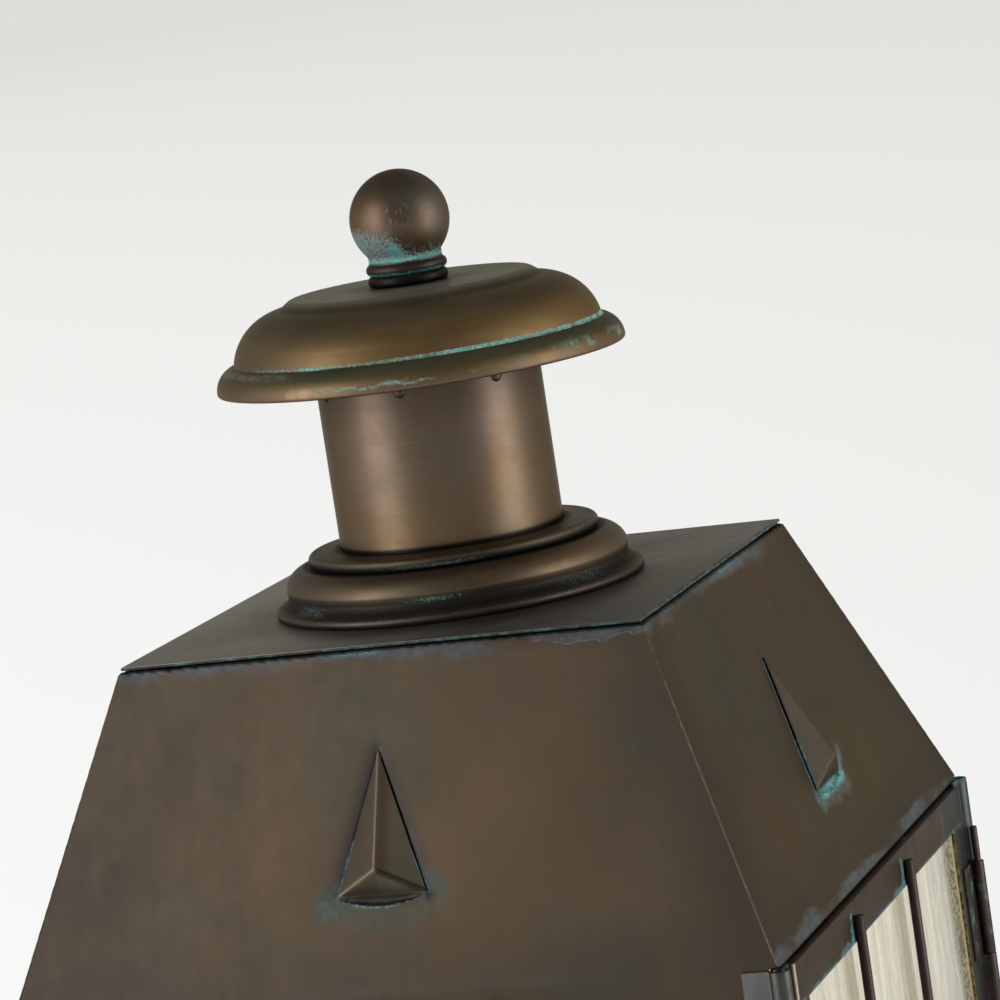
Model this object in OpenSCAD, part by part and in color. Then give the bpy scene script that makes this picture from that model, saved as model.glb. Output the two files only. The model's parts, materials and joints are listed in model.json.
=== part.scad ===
// Square copper post lantern: vented pyramid roof, round chimney with a spun cap, hinged glazed door.
// Millimetres. Z is up, the front faces -Y, the door is on the +X side.
// The origin is the centre of the post fitter's lower rim.

/* [Body] */
// Width across two opposite walls
body_w = 279.6; // [240:0.1:320]
// Height of the walls, from the pan's underside to the roof's lower edge
body_h = 250; // [200:1:320]
// Thickness of the folded sheet
sheet_t = 1.2; // [0.8:0.1:2]
// Depth of the skirt that hangs from a roof sheet
skirt_h = 18; // [12:1:30]
// Height of the pan's upturned rim
rim_h = 20; // [12:1:30]
// Thickness of the fixed panes
pane_t = 3; // [2:0.1:4]
// How far a pane runs past the edge of what it shows through
pane_lap = 4.8; // [3:0.1:8]
// Diameter of the drain holes near the pan's corners
weep_d = 5; // [3:0.5:8]
// Width of the open line left along a folded joint
seam = 0.25; // [0.1:0.05:0.6]
// Clearance between neighbouring rigid pieces
gap = 0.3; // [0.2:0.05:0.8]

/* [Corner posts] */
// Width of the flat leaf that shows beside a wall
leaf_w = 13.2; // [8:0.1:20]
// Width of the shorter leaf that shows beside the door
door_leaf_w = 9.2; // [6:0.1:12]
// Radius of the round bead down each corner
bead_r = 3.6; // [2.5:0.1:5]
// Wall of the hollow bead
bead_wall = 1; // [0.6:0.1:1.6]
// Open line between a post's top and the roof
post_top_gap = 0.6; // [0.3:0.1:2]

/* [Roof] */
// Width of the roof where it meets the top plate
roof_top_w = 193.2; // [150:0.1:230]
// Height of the sloping roof
roof_h = 114.4; // [80:0.1:150]
// Width of the flange folded in at the top of each roof sheet
flange_w = 12; // [6:1:20]
// Dark line left between the top plate and the roof sheets
plate_seam = 0.6; // [0.3:0.1:1]
// Depth of the rebate that the door's top closes against
rebate_h = 15; // [10:1:20]

/* [Lanced louvres] */
// Distance down the slope from the roof's top edge to the louvre's tip
louvre_drop = 37.5; // [20:0.5:60]
// Length of the louvre down the slope
louvre_len = 50; // [30:0.5:70]
// Width of the louvre at its foot
louvre_w = 32.6; // [20:0.1:50]
// Height of the pushed-out peak
louvre_rise = 8.2; // [4:0.1:14]
// Distance of the peak above the foot, along the slope
louvre_peak = 7.6; // [4:0.1:16]
// Lift of the cut edges above the sheet
louvre_lift = 1; // [0.5:0.1:2]
// Width of the cut beside each long edge
louvre_slit = 0.8; // [0.4:0.1:2]
// Bow of the stretched lip below the foot
louvre_bow = 3.6; // [1:0.1:6]

/* [Chimney] */
// Outer diameter of the chimney tube
tube_d = 82.2; // [60:0.1:100]
// Height of the chimney tube above the top plate
tube_h = 97; // [80:0.5:120]
// Wall of the chimney tube
tube_wall = 1.2; // [0.8:0.1:2]
// Height of the stepped collar
collar_h = 22.2; // [16:0.1:30]
// Diameter of the collar's upper bead
collar_upper_d = 107; // [96:0.1:115]
// Diameter of the collar's middle round
collar_mid_d = 126.6; // [116:0.1:130]
// Diameter of the collar's foot
collar_foot_d = 136; // [130:0.1:150]
// Thickness of the spun sheet in the collar and the cap
spun_t = 1.2; // [0.8:0.1:1.8]

/* [Cap] */
// Diameter over the cap's rim
cap_d = 149.9; // [120:0.1:170]
// Height of the cap's flat top above the top plate
cap_top = 114.7; // [100:0.1:130]
// Diameter of the flat top
cap_flat_d = 91.4; // [60:0.1:96]
// Drop of the small step at the edge of the flat top
cap_step = 3; // [0.6:0.1:3.6]
// Radius of the dome
dome_r = 21.2; // [16:0.1:26]
// Radius of the rolled rim
rim_r = 8.1; // [5:0.1:10]
// Height of the rim's widest line above the top plate
cap_rim_z = 85.1; // [78:0.1:90]
// Radius of the wired edge under the rim
wire_r = 1.1; // [0.8:0.1:2]
// How far the cap and its finial sit off the chimney's axis, towards the left
cap_shift_x = 1.7; // [0:0.1:3]
// How far they sit off the axis, towards the front
cap_shift_y = 0.6; // [0:0.1:3]

/* [Finial] */
// Diameter of the ball
ball_d = 36.4; // [24:0.1:50]
// Height of the ball's centre above the cap's flat top
ball_rise = 23.4; // [20:0.1:40]
// Diameter of the neck under the ball
neck_d = 26.8; // [16:0.1:30]
// Diameter over the neck's bead
neck_bead_d = 29.7; // [20:0.1:34]
// Height of the separate ring under the neck
ring_h = 4; // [3.4:0.1:8]
// Diameter of the stud that holds the cap
stud_d = 6; // [5:0.5:8]
// Clearance round the stud and round each rivet
hole_gap = 0.2; // [0.1:0.05:0.4]

/* [Cap stay] */
// Height of the stay's ring inside the tube
stay_ring_h = 14; // [10:1:20]
// Height of the rivets above the top plate
rivet_z = 80; // [70:0.5:84]
// Number of rivets round the tube
rivet_count = 7; // [4:1:10]
// Diameter of a rivet's head
rivet_head_d = 4.4; // [3:0.1:6]
// Diameter of a rivet's shank
rivet_d = 2.4; // [2:0.1:3]
// Width of the strap across the stay
strap_w = 16; // [10:1:24]
// Thickness of the strap
strap_t = 2; // [1:0.1:3]

/* [Door] */
// Distance of the door's face beyond the wall line
door_proud = 2.2; // [1.6:0.1:3]
// Depth of the door's folded frame
door_depth = 3.6; // [3:0.1:3.8]
// Thickness of the door's sheet
door_t = 1; // [0.6:0.1:1.2]
// Width of the frame's rails and stiles
rail_w = 14.5; // [10:0.1:20]
// Open line above the door
door_top_gap = 1.9; // [1.5:0.1:3]
// Open line below the door
door_foot_gap = 1.8; // [1:0.1:3]
// Open line between the door and the post it closes beside
door_latch_gap = 1.7; // [1:0.1:3]
// Open line between the door and the post it hangs from
door_hinge_gap = 0.8; // [0.5:0.1:1.5]
// Thickness of the door's pane
door_pane_t = 2.2; // [2:0.1:2.4]

/* [Guard rods] */
// Diameter of the guard rods
rod_d = 3.8; // [3:0.1:6]
// Distance between the two rods of a side
rod_pitch = 80; // [50:1:120]
// Distance from the top of the frame to the rods' ends
rod_inset = 5; // [2:0.5:9]
// Distance of the door's pair towards the latch, from the middle of the wall
door_rod_shift = 5; // [0:0.5:8]

/* [Hinge] */
// Outer diameter of the hinge knuckles
knuckle_d = 4.6; // [4:0.1:6]
// Diameter of the hinge pin
pin_d = 2.8; // [2:0.1:3.4]
// Running clearance between the pin and a knuckle, on the radius
pin_gap = 0.08; // [0.05:0.01:0.1]
// Distance from the door's top to the pin's end
pin_drop = 17.2; // [10:0.1:30]
// Length of bare pin beyond the last knuckle
pin_tail = 13.5; // [5:0.5:20]
// Open line between two knuckles
knuckle_gap = 0.5; // [0.2:0.1:1]
// Thickness of the hinge's leaves
hinge_t = 0.8; // [0.6:0.1:1.2]
// Width of the leaf on the door
hinge_leaf_w = 9; // [6:0.5:12]
// Clearance between the knuckles and the corner bead
hinge_clear = 0.35; // [0.3:0.05:0.8]

/* [Latch] */
// Diameter of the latch's shaft
shaft_d = 4; // [3:0.1:5]
// Running clearance round the shaft, on the radius
shaft_gap = 0.06; // [0.03:0.01:0.1]
// Diameter of the turned knob
knob_d = 11; // [8:0.5:12]
// Length of the tongue from the shaft's centre
tongue_len = 11.4; // [9:0.1:11.6]
// Width of the tongue
tongue_w = 6.6; // [5:0.1:7]
// Thickness of the tongue
tongue_t = 1.2; // [0.8:0.1:1.6]

/* [Post fitter] */
// Diameter of the socket for the post
socket_d = 77; // [70:0.1:90]
// Depth of the socket
socket_depth = 70; // [50:1:100]
// Wall of the fitter
fitter_wall = 2.6; // [2:0.1:4]
// Thickness of the web that closes the socket
web_t = 4; // [2:0.1:6]
// Diameter of the fitter's flange
fitter_flange_d = 128; // [110:1:160]
// Thickness of the flange
fitter_flange_t = 2; // [1.5:0.1:3]
// Radius of the cove under the flange
cove_r = 14; // [8:0.5:18]
// Height of the set screws above the rim
screw_z = 22; // [12:1:40]
// Diameter of the set screws
screw_d = 6; // [5:0.5:8]
// Number of rivets through the flange
flange_rivets = 6; // [4:1:8]

/* [Lamp cluster] */
// Diameter of the hollow threaded stem
stem_d = 10; // [8:0.5:12]
// Bore of the stem, which the leads pass through
stem_bore = 6; // [4:0.5:7]
// Distance from the middle of the lamp to a candle
arm_reach = 45; // [38:1:55]
// Height of the arms above the pan's floor
arm_z = 16; // [12:0.5:24]
// Radius of an arm's bend
arm_bend = 12; // [8:0.5:16]
// Diameter of the arms
arm_d = 6.4; // [5:0.1:9]
// Outer diameter of the candle sleeves
sleeve_d = 24; // [20:0.5:30]
// Wall of the candle sleeves
sleeve_wall = 1.2; // [0.8:0.1:2]
// Height of the candle sleeves
sleeve_h = 60; // [45:1:70]
// Diameter of the lampholders
holder_d = 19; // [16:0.5:20]
// Diameter of a bulb at its widest
bulb_d = 32; // [26:0.5:38]
// Length of a bulb above its sleeve
bulb_h = 56; // [40:1:60]

/* [Hidden] */
$fn = 96;

wall = body_w / 2;
pan_z = socket_depth + web_t;
floor_z = pan_z + sheet_t;
fitter_r = socket_d / 2 + fitter_wall;
foot_bead_r = 2.2;
braze = 0.1;
eave_z = pan_z + body_h;
plate_z = eave_z + roof_h;
top_half = roof_top_w / 2;
slope = atan((wall - top_half) / roof_h);
sheet_run = sheet_t / cos(slope);
big = body_w;

// Corner post: the leaves lie on the wall line and the bead is centred a little outside it
leaf_out = wall + sheet_t;
bead_shift = 0.4;
bead_c = wall + bead_shift;
corner_in = bead_c - bead_r - gap;
leaf_edge = bead_c - leaf_w;
door_leaf_edge = bead_c - door_leaf_w;
post_h = body_h - post_top_gap;

// Panes
pane_out = wall - sheet_t;
pane_half = leaf_edge + pane_lap;
pane_head_gap = 2;
pane_h = body_h - sheet_t - pane_head_gap;

// Door, closed
door_x = wall + door_proud;
door_back = door_x - door_depth;
door_y0 = -door_leaf_edge + door_latch_gap;
door_y1 = door_leaf_edge - door_hinge_gap;
door_z0 = floor_z + door_foot_gap;
door_z1 = eave_z - door_top_gap;
door_pane_x = door_x - door_t;
rebate_x = door_back - gap - sheet_t;
rebate_half = wall - sheet_t - pane_t - gap;

// Drain holes, on the pan's diagonals
weep_reach = 1.25 * wall;

// Hinge
knuckle_r = knuckle_d / 2;
knuckle_sink = 0.2;
hinge_x = door_x + hinge_t + knuckle_r - knuckle_sink;
hinge_reach = bead_r + knuckle_r + hinge_clear;
hinge_y = bead_c - sqrt(hinge_reach * hinge_reach - pow(hinge_x - bead_c, 2));
pin_z0 = door_z0 + pin_drop;
pin_z1 = door_z1 - pin_drop;
knuckle_count = 5;
knuckle_h = (pin_z1 - pin_z0 - 2 * pin_tail) / knuckle_count;

// Latch
latch_y = door_y0 + door_t + gap + tongue_w / 2;
latch_z = (door_z0 + door_z1) / 2;
tongue_x = door_back - gap - tongue_t;

// Cap: the cove is where the dome meets the rolled rim
cap_half = cap_d / 2;
flat_r = cap_flat_d / 2;
flat_edge = min(1.2, cap_step);
rim_c = cap_half - rim_r;
dome_top = cap_top - cap_step;
cove_w = 1;
dome_c = rim_c + cove_w - dome_r;
cove_z = cap_rim_z + rim_r;
stay_top = cap_top - spun_t;

// Collar heights, each written from the top plate
collar_in = tube_d / 2 + gap;
collar_nose = 2.4;
collar_bead_h = 4.4;
collar_groove_z = 17.2;
collar_mid_r = 8.6;
collar_foot_z = 8;
foot_nose = 1.7;
foot_cove_r = 5.4;

// Turn of the first rivet from the door's side
rivet_turn = -86.3;

// Lamp cluster
hub_r = 12;
cup_z = floor_z + arm_z + arm_bend;
sleeve_z = cup_z + 4;
candle_turn = 30;
holder_top = sleeve_h - 2;

// Copies of a shape at equal turns round the Z axis
module around(count, turn = 0) {
  for (i = [0 : count - 1]) {
    rotate([0, 0, turn + i * 360 / count]) children();
  }
}

// The front quarter of the plan between the two corner joints, from height z0 to z1
module front_quarter(z0, z1) {
  translate([0, 0, z0]) linear_extrude(z1 - z0) {
    polygon([[0, -seam], [big, -big - seam], [-big, -big - seam]]);
  }
}

// Puts a shape drawn on the front roof sheet where the sheet lies: x across, -y out, -z down the slope
module on_slope() {
  translate([0, -top_half, plate_z]) rotate([-slope, 0, 0]) children();
}

// A pushed-out louvre's points: [across, out of the sheet, down the slope], from tip to lip
function louvre_points(foot, half, tip, lower) = [
  [0, louvre_lift - lower, tip],
  [-half, louvre_lift - lower, foot],
  [-half / 2, louvre_lift - lower, foot],
  [0, louvre_lift - lower, foot],
  [half / 2, louvre_lift - lower, foot],
  [half, louvre_lift - lower, foot],
  [0, louvre_rise - lower, foot - louvre_peak],
  [-half, -lower - 0.15, foot + 0.6],
  [-half / 2, -lower - 0.15, foot + 0.75 * louvre_bow],
  [0, -lower - 0.15, foot + louvre_bow],
  [half / 2, -lower - 0.15, foot + 0.75 * louvre_bow],
  [half, -lower - 0.15, foot + 0.6]
];

louvre_skin = [
  [0, 6, 1], [0, 5, 6], [6, 2, 1], [6, 3, 2], [6, 4, 3], [6, 5, 4],
  [1, 8, 7], [1, 2, 8], [2, 9, 8], [2, 3, 9], [3, 10, 9], [3, 4, 10], [4, 11, 10], [4, 5, 11]
];
louvre_edge = [0, 1, 7, 8, 9, 10, 11, 5];

// The lanced louvre: three flat facets cut free along the two long edges and held at the foot
module louvre() {
  foot = louvre_drop + louvre_len;
  half = louvre_w / 2;
  outer = louvre_points(foot, half, louvre_drop, 0);
  inner = louvre_points(foot, half, louvre_drop, sheet_t - 0.3);
  count = len(outer);
  edges = len(louvre_edge);
  rim = [for (i = [0 : edges - 1]) [louvre_edge[i], louvre_edge[(i + 1) % edges]]];
  polyhedron(
    points = [for (p = concat(outer, inner)) [p[0], -p[1], -p[2]]],
    faces = concat(
      [for (f = louvre_skin) [f[0], f[1], f[2]]],
      [for (f = louvre_skin) [f[2] + count, f[1] + count, f[0] + count]],
      [for (e = rim) [e[0], e[1], e[0] + count]],
      [for (e = rim) [e[1], e[1] + count, e[0] + count]]
    )
  );
}

// The hole that the louvre leaves in the sheet
module louvre_hole() {
  foot = louvre_drop + louvre_len;
  half = louvre_w / 2 + louvre_slit;
  translate([0, sheet_t + 1, 0]) rotate([90, 0, 0]) linear_extrude(sheet_t + 2) {
    polygon([[0, -louvre_drop + 2 * louvre_slit], [-half, -foot], [half, -foot]]);
  }
}

// One sloping sheet of the roof with its louvre and the flange folded in under the top plate
module roof_sheet() {
  sheet_top = plate_z - sheet_t - plate_seam;
  difference() {
    intersection() {
      on_slope() translate([-big, 0, -roof_h * 1.5]) cube([2 * big, sheet_t, roof_h * 1.5 + 5]);
      front_quarter(eave_z, sheet_top);
    }
    on_slope() louvre_hole();
  }
  on_slope() louvre();
  intersection() {
    translate([-big, -top_half, sheet_top - sheet_t]) cube([2 * big, flange_w, sheet_t]);
    front_quarter(eave_z, plate_z);
  }
}

// A roof sheet that folds down into a skirt between the corner posts
module skirted_sheet() {
  roof_sheet();
  translate([-corner_in, -wall, eave_z - skirt_h]) cube([2 * corner_in, sheet_t, skirt_h + 0.5]);
}

// The sheet over the door folds in and down to make the rebate that the door's top closes against
module rebated_sheet() {
  roof_sheet();
  translate([-rebate_half, -wall + 0.5, eave_z - sheet_t]) {
    cube([2 * rebate_half, wall - 0.5 - rebate_x, sheet_t + 0.3]);
  }
  translate([-rebate_half, -rebate_x - sheet_t, eave_z - rebate_h]) {
    cube([2 * rebate_half, sheet_t, rebate_h]);
  }
}

module top_plate() {
  difference() {
    translate([-top_half, -top_half, plate_z - sheet_t]) cube([roof_top_w, roof_top_w, sheet_t]);
    translate([0, 0, plate_z - sheet_t - 1]) cylinder(d = tube_d - 2 * tube_wall - 4, h = sheet_t + 2);
  }
}

// Section of the front right corner post, with the longer leaf along the front
module post_section(side_edge, front_edge) {
  difference() {
    union() {
      translate([front_edge, -leaf_out]) square([bead_c - front_edge, sheet_t]);
      translate([wall, -bead_c]) square([sheet_t, bead_c - side_edge]);
      translate([bead_c, -bead_c]) circle(r = bead_r);
    }
    translate([bead_c, -bead_c]) circle(r = bead_r - bead_wall);
  }
}

// The strip inside a leaf that the pane's edge lies against
module post_hem() {
  translate([leaf_edge, -leaf_out, pan_z + rim_h + gap]) {
    cube([corner_in - leaf_edge, 2 * sheet_t, body_h - rim_h - skirt_h - 2 * gap]);
  }
}

// A corner post between two glazed walls
module plain_post() {
  translate([0, 0, pan_z]) linear_extrude(post_h) post_section(leaf_edge, leaf_edge);
  post_hem();
  mirror([1, 1, 0]) post_hem();
}

// A corner post beside the door: the leaf on the door's side is narrower and has no strip
module door_post() {
  translate([0, 0, pan_z]) linear_extrude(post_h) post_section(door_leaf_edge, leaf_edge);
  post_hem();
}

// The tray that the walls stand on, with its corners notched for the posts
module base_pan() {
  difference() {
    union() {
      translate([-wall, -corner_in, pan_z]) cube([body_w, 2 * corner_in, sheet_t]);
      translate([-corner_in, -wall, pan_z]) cube([2 * corner_in, body_w, sheet_t]);
    }
    translate([0, 0, pan_z - 1]) cylinder(d = stem_d + 2 * hole_gap, h = sheet_t + 2);
    flange_places() translate([0, 0, pan_z - 1]) cylinder(d = rivet_d + 2 * hole_gap, h = sheet_t + 2);
    around(4, 45) translate([weep_reach, 0, pan_z - 1]) cylinder(d = weep_d, h = sheet_t + 2);
  }
  translate([-corner_in, -wall, pan_z]) cube([2 * corner_in, sheet_t, rim_h]);
  translate([-corner_in, wall - sheet_t, pan_z]) cube([2 * corner_in, sheet_t, rim_h]);
  translate([-wall, -corner_in, pan_z]) cube([sheet_t, 2 * corner_in, rim_h]);
  translate([rebate_x, -rebate_half, pan_z]) cube([sheet_t, 2 * rebate_half, rim_h - 4]);
}

// Turned outline of the collar, drawn solid and pulled in by t
module collar_outline(t) {
  upper = collar_upper_d / 2 - collar_nose;
  mid = collar_mid_d / 2 - collar_mid_r;
  foot = collar_foot_d / 2 - foot_nose;
  // upper bead
  polygon([
    [0, 0], [upper + 0.7 - t, 0], [upper + 0.7 - t, collar_groove_z],
    [upper - t, collar_groove_z + collar_bead_h - t], [collar_in, collar_h - t], [0, collar_h - t]
  ]);
  translate([upper, collar_groove_z + collar_bead_h / 2]) circle(r = collar_nose - t);
  // middle round
  translate([mid, collar_groove_z - collar_mid_r]) circle(r = collar_mid_r - t);
  square([mid + collar_mid_r - 1 - t, collar_groove_z - collar_mid_r]);
  square([mid, collar_groove_z - t]);
  // foot: a cove that runs out to a round edge
  difference() {
    square([foot, collar_foot_z]);
    translate([foot + foot_nose - 0.2, collar_foot_z + 0.6]) circle(r = foot_cove_r + t);
  }
  translate([foot, foot_nose]) circle(r = foot_nose - t);
  square([foot, foot_nose * 2 - t]);
}

module chimney_collar() {
  translate([0, 0, plate_z]) rotate_extrude() {
    difference() {
      collar_outline(0);
      collar_outline(spun_t);
      square([collar_in, collar_h + 1]);
      translate([0, -10]) square([collar_foot_d, 10]);
    }
  }
}

module chimney_tube() {
  difference() {
    translate([0, 0, plate_z]) cylinder(d = tube_d, h = tube_h);
    translate([0, 0, plate_z - 1]) cylinder(d = tube_d - 2 * tube_wall, h = tube_h + 2);
    rivet_places() translate([tube_d / 2 - tube_wall - 2, 0, 0]) rotate([0, 90, 0]) {
      cylinder(d = rivet_d + 2 * hole_gap, h = tube_wall + 4);
    }
  }
}

// Where the rivets of the cap's stay go through the tube
module rivet_places() {
  translate([0, 0, plate_z + rivet_z]) around(rivet_count, rivet_turn) children();
}

// The ring riveted inside the tube and the strap across it that the cap is pulled down on
module cap_stay() {
  ring_r = tube_d / 2 - tube_wall - gap / 3;
  ring_z = plate_z + rivet_z - stay_ring_h / 2;
  leg_x = ring_r - spun_t - strap_t;
  difference() {
    union() {
      difference() {
        translate([0, 0, ring_z]) cylinder(r = ring_r, h = stay_ring_h);
        translate([0, 0, ring_z - 1]) cylinder(r = ring_r - spun_t, h = stay_ring_h + 2);
      }
      intersection() {
        union() {
          for (side = [-1, 1]) {
            translate([side * (leg_x + 0.5 * strap_t) - 0.5 * strap_t, -strap_w / 2, ring_z]) {
              cube([strap_t, strap_w, plate_z + stay_top - ring_z]);
            }
          }
          translate([-leg_x - strap_t, -strap_w / 2, plate_z + stay_top - strap_t]) {
            cube([2 * (leg_x + strap_t), strap_w, strap_t]);
          }
        }
        translate([0, 0, ring_z]) cylinder(r = ring_r - 0.3, h = cap_top);
      }
    }
    on_cap(stay_top - strap_t - 1) cylinder(d = stud_d + 2 * hole_gap, h = strap_t + 2);
    rivet_places() translate([ring_r - spun_t - 4, 0, 0]) rotate([0, 90, 0]) {
      cylinder(d = rivet_d + 2 * hole_gap, h = spun_t + 8);
    }
  }
}

// A domed rivet head on the tube's skin with its shank through the tube and the ring
module stay_rivets() {
  rivet_places() {
    translate([tube_d / 2, 0, 0]) rotate([0, 90, 0]) {
      intersection() {
        translate([0, 0, -rivet_head_d * 0.3]) sphere(d = rivet_head_d * 1.15);
        cylinder(d = rivet_head_d, h = rivet_head_d);
      }
      translate([0, 0, -tube_wall - spun_t - 1]) cylinder(d = rivet_d, h = tube_wall + spun_t + 1.2);
    }
  }
}

// The cap's own axis at height z above the top plate: the stay's hole is drilled a little off the middle
module on_cap(z) {
  translate([-cap_shift_x, -cap_shift_y, plate_z + z]) children();
}

// Turned outline of the cap above its rim, drawn solid and pulled in by t
module cap_outline(t) {
  // flat top with its small step
  translate([0, cap_rim_z]) square([flat_r - flat_edge - t, cap_top - cap_rim_z - t]);
  translate([0, cap_rim_z]) square([flat_r - t, cap_top - flat_edge - cap_rim_z - t]);
  translate([flat_r - flat_edge - t, cap_top - flat_edge - t]) circle(r = flat_edge);
  // dome
  intersection() {
    translate([dome_c, dome_top - dome_r]) circle(r = dome_r - t);
    translate([0, cove_z - 1 - t]) square([cap_d, dome_top]);
  }
  translate([0, cap_rim_z]) square([dome_c, dome_top - cap_rim_z - t]);
  translate([0, cap_rim_z]) square([rim_c + 0.6 - t, cove_z + 1.4 - cap_rim_z]);
  // rolled rim
  intersection() {
    translate([rim_c, cap_rim_z]) circle(r = rim_r - t);
    translate([0, cap_rim_z]) square([cap_d, rim_r * 2]);
  }
}

module cap() {
  on_cap(0) difference() {
    rotate_extrude() {
      difference() {
        cap_outline(0);
        cap_outline(spun_t);
        translate([-cap_d, 0]) square([cap_d, 2 * cap_d]);
      }
      translate([cap_half - wire_r, cap_rim_z]) circle(r = wire_r);
    }
    translate([0, 0, cap_top - spun_t - 1]) cylinder(d = stud_d + 2 * hole_gap, h = spun_t + 2);
  }
}

// The plain ring between the neck and the cap
module finial_ring() {
  ring_r = neck_bead_d / 2 - 0.2;
  edge = 1.6;
  on_cap(cap_top) rotate_extrude() {
    difference() {
      union() {
        square([ring_r - edge, ring_h]);
        translate([0, edge]) square([ring_r, ring_h - 2 * edge]);
        translate([ring_r - edge, edge]) circle(r = edge);
        translate([ring_r - edge, ring_h - edge]) circle(r = edge);
      }
      translate([-1, -1]) square([1 + stud_d / 2 + hole_gap, ring_h + 2]);
      translate([-ring_r, -1]) square([ring_r, ring_h + 2]);
    }
  }
}

// Ball, neck and bead turned in one piece with the stud
module finial() {
  neck_z = ring_h;
  bead = 2.2;
  bead_z = neck_z + bead;
  stud_z = -spun_t - strap_t - 8;
  on_cap(cap_top) rotate_extrude() {
    intersection() {
      union() {
        translate([0, ball_rise]) circle(d = ball_d);
        translate([0, neck_z]) square([neck_d / 2, ball_rise - neck_z - 9]);
        translate([neck_bead_d / 2 - bead, bead_z]) circle(r = bead);
        translate([0, stud_z]) square([stud_d / 2, neck_z - stud_z + 1]);
      }
      translate([0, stud_z]) square([ball_d, ball_rise + ball_d]);
    }
  }
}

module finial_nut() {
  on_cap(stay_top - strap_t - 5) difference() {
    cylinder(d = 11.5, h = 5, $fn = 6);
    translate([0, 0, -1]) cylinder(d = stud_d + hole_gap, h = 7);
  }
}

// A fixed pane, drawn on the front
module pane() {
  translate([-pane_half, -pane_out, floor_z]) cube([2 * pane_half, pane_t, pane_h]);
}

// The bent tabs that hold a fixed pane, drawn on the front
module pane_clips() {
  tab_t = 1;
  tab_w = 10;
  back = pane_out - pane_t - gap / 3;
  top = floor_z + pane_h;
  for (x = [-rod_pitch, rod_pitch]) {
    translate([x - tab_w / 2, -pane_out, top + gap / 3]) cube([tab_w, pane_out - back + tab_t, tab_t]);
    translate([x - tab_w / 2, -back, top - 9]) cube([tab_w, tab_t, 9 + gap / 3]);
    translate([x - tab_w / 2, -back, floor_z]) cube([tab_w, tab_t, 11]);
    translate([x - tab_w / 2, -back, floor_z]) cube([tab_w, 9, tab_t]);
  }
}

module glass_clips() {
  for (turn = [0, 180, 270]) {
    rotate([0, 0, turn]) pane_clips();
  }
}

// The pair of guard rods on a glazed wall, drawn on the front
module wall_rods() {
  for (x = [-rod_pitch / 2, rod_pitch / 2]) {
    translate([x, -wall - rod_d / 2, pan_z + rod_inset]) cylinder(d = rod_d, h = body_h - 2 * rod_inset);
  }
}

module door_frame() {
  difference() {
    translate([door_back, door_y0, door_z0]) cube([door_depth, door_y1 - door_y0, door_z1 - door_z0]);
    translate([door_back - 1, door_y0 + door_t, door_z0 + door_t]) {
      cube([door_depth - door_t + 1, door_y1 - door_y0 - 2 * door_t, door_z1 - door_z0 - 2 * door_t]);
    }
    translate([door_back - 1, door_y0 + rail_w, door_z0 + rail_w]) {
      cube([door_depth + 2, door_y1 - door_y0 - 2 * rail_w, door_z1 - door_z0 - 2 * rail_w]);
    }
    translate([door_back - 1, latch_y, latch_z]) rotate([0, 90, 0]) {
      cylinder(d = shaft_d + 2 * shaft_gap, h = door_depth + 2);
    }
  }
}

module door_glass() {
  inset = rail_w - pane_lap;
  translate([door_pane_x - door_pane_t, door_y0 + inset, door_z0 + inset]) {
    cube([door_pane_t, door_y1 - door_y0 - 2 * inset, door_z1 - door_z0 - 2 * inset]);
  }
}

// Tabs folded over the door's pane from its stiles
module door_clips() {
  tab_t = 0.8;
  tab_w = 10;
  tab_len = rail_w - 2;
  rise = (door_z1 - door_z0) / 3;
  for (z = [latch_z - rise, latch_z + rise]) {
    for (y = [door_y0, door_y1 - tab_len]) {
      translate([door_back - tab_t, y, z - tab_w / 2]) cube([tab_t, tab_len, tab_w]);
    }
  }
}

module door_rods() {
  for (y = [-rod_pitch / 2 - door_rod_shift, rod_pitch / 2 - door_rod_shift]) {
    translate([door_x + rod_d / 2, y, door_z0 + rod_inset]) {
      cylinder(d = rod_d, h = door_z1 - door_z0 - 2 * rod_inset);
    }
  }
}

// One hinge knuckle, counted from the top
module knuckle(i) {
  z1 = pin_z1 - pin_tail - i * knuckle_h - knuckle_gap / 2;
  translate([hinge_x, hinge_y, z1 - knuckle_h + knuckle_gap]) difference() {
    union() {
      cylinder(d = knuckle_d, h = knuckle_h - knuckle_gap);
      children();
    }
    translate([0, 0, -1]) cylinder(d = pin_d + 2 * pin_gap, h = knuckle_h + 2);
  }
}

// Door's knuckles: a flat leaf soldered on the door's stile
module hinge_leaf_door() {
  reach = hinge_y - door_y1 + hinge_leaf_w;
  for (i = [0 : 2 : knuckle_count - 1]) {
    knuckle(i) translate([door_x - hinge_x, -reach, 0]) cube([hinge_t, reach, knuckle_h - knuckle_gap]);
  }
}

// Post's knuckles: an angle soldered on the corner post's leaf
module hinge_leaf_post() {
  foot = hinge_y - knuckle_r - door_leaf_edge - gap;
  leaf_h = knuckle_h - knuckle_gap;
  for (i = [1 : 2 : knuckle_count - 1]) {
    knuckle(i) {
      translate([leaf_out - hinge_x, -knuckle_r, 0]) cube([hinge_x - leaf_out, hinge_t, leaf_h]);
      translate([leaf_out - hinge_x, -knuckle_r - foot, 0]) cube([hinge_t, foot + hinge_t, leaf_h]);
    }
  }
}

module hinge_pin() {
  translate([hinge_x, hinge_y, pin_z0]) cylinder(d = pin_d, h = pin_z1 - pin_z0);
}

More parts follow.
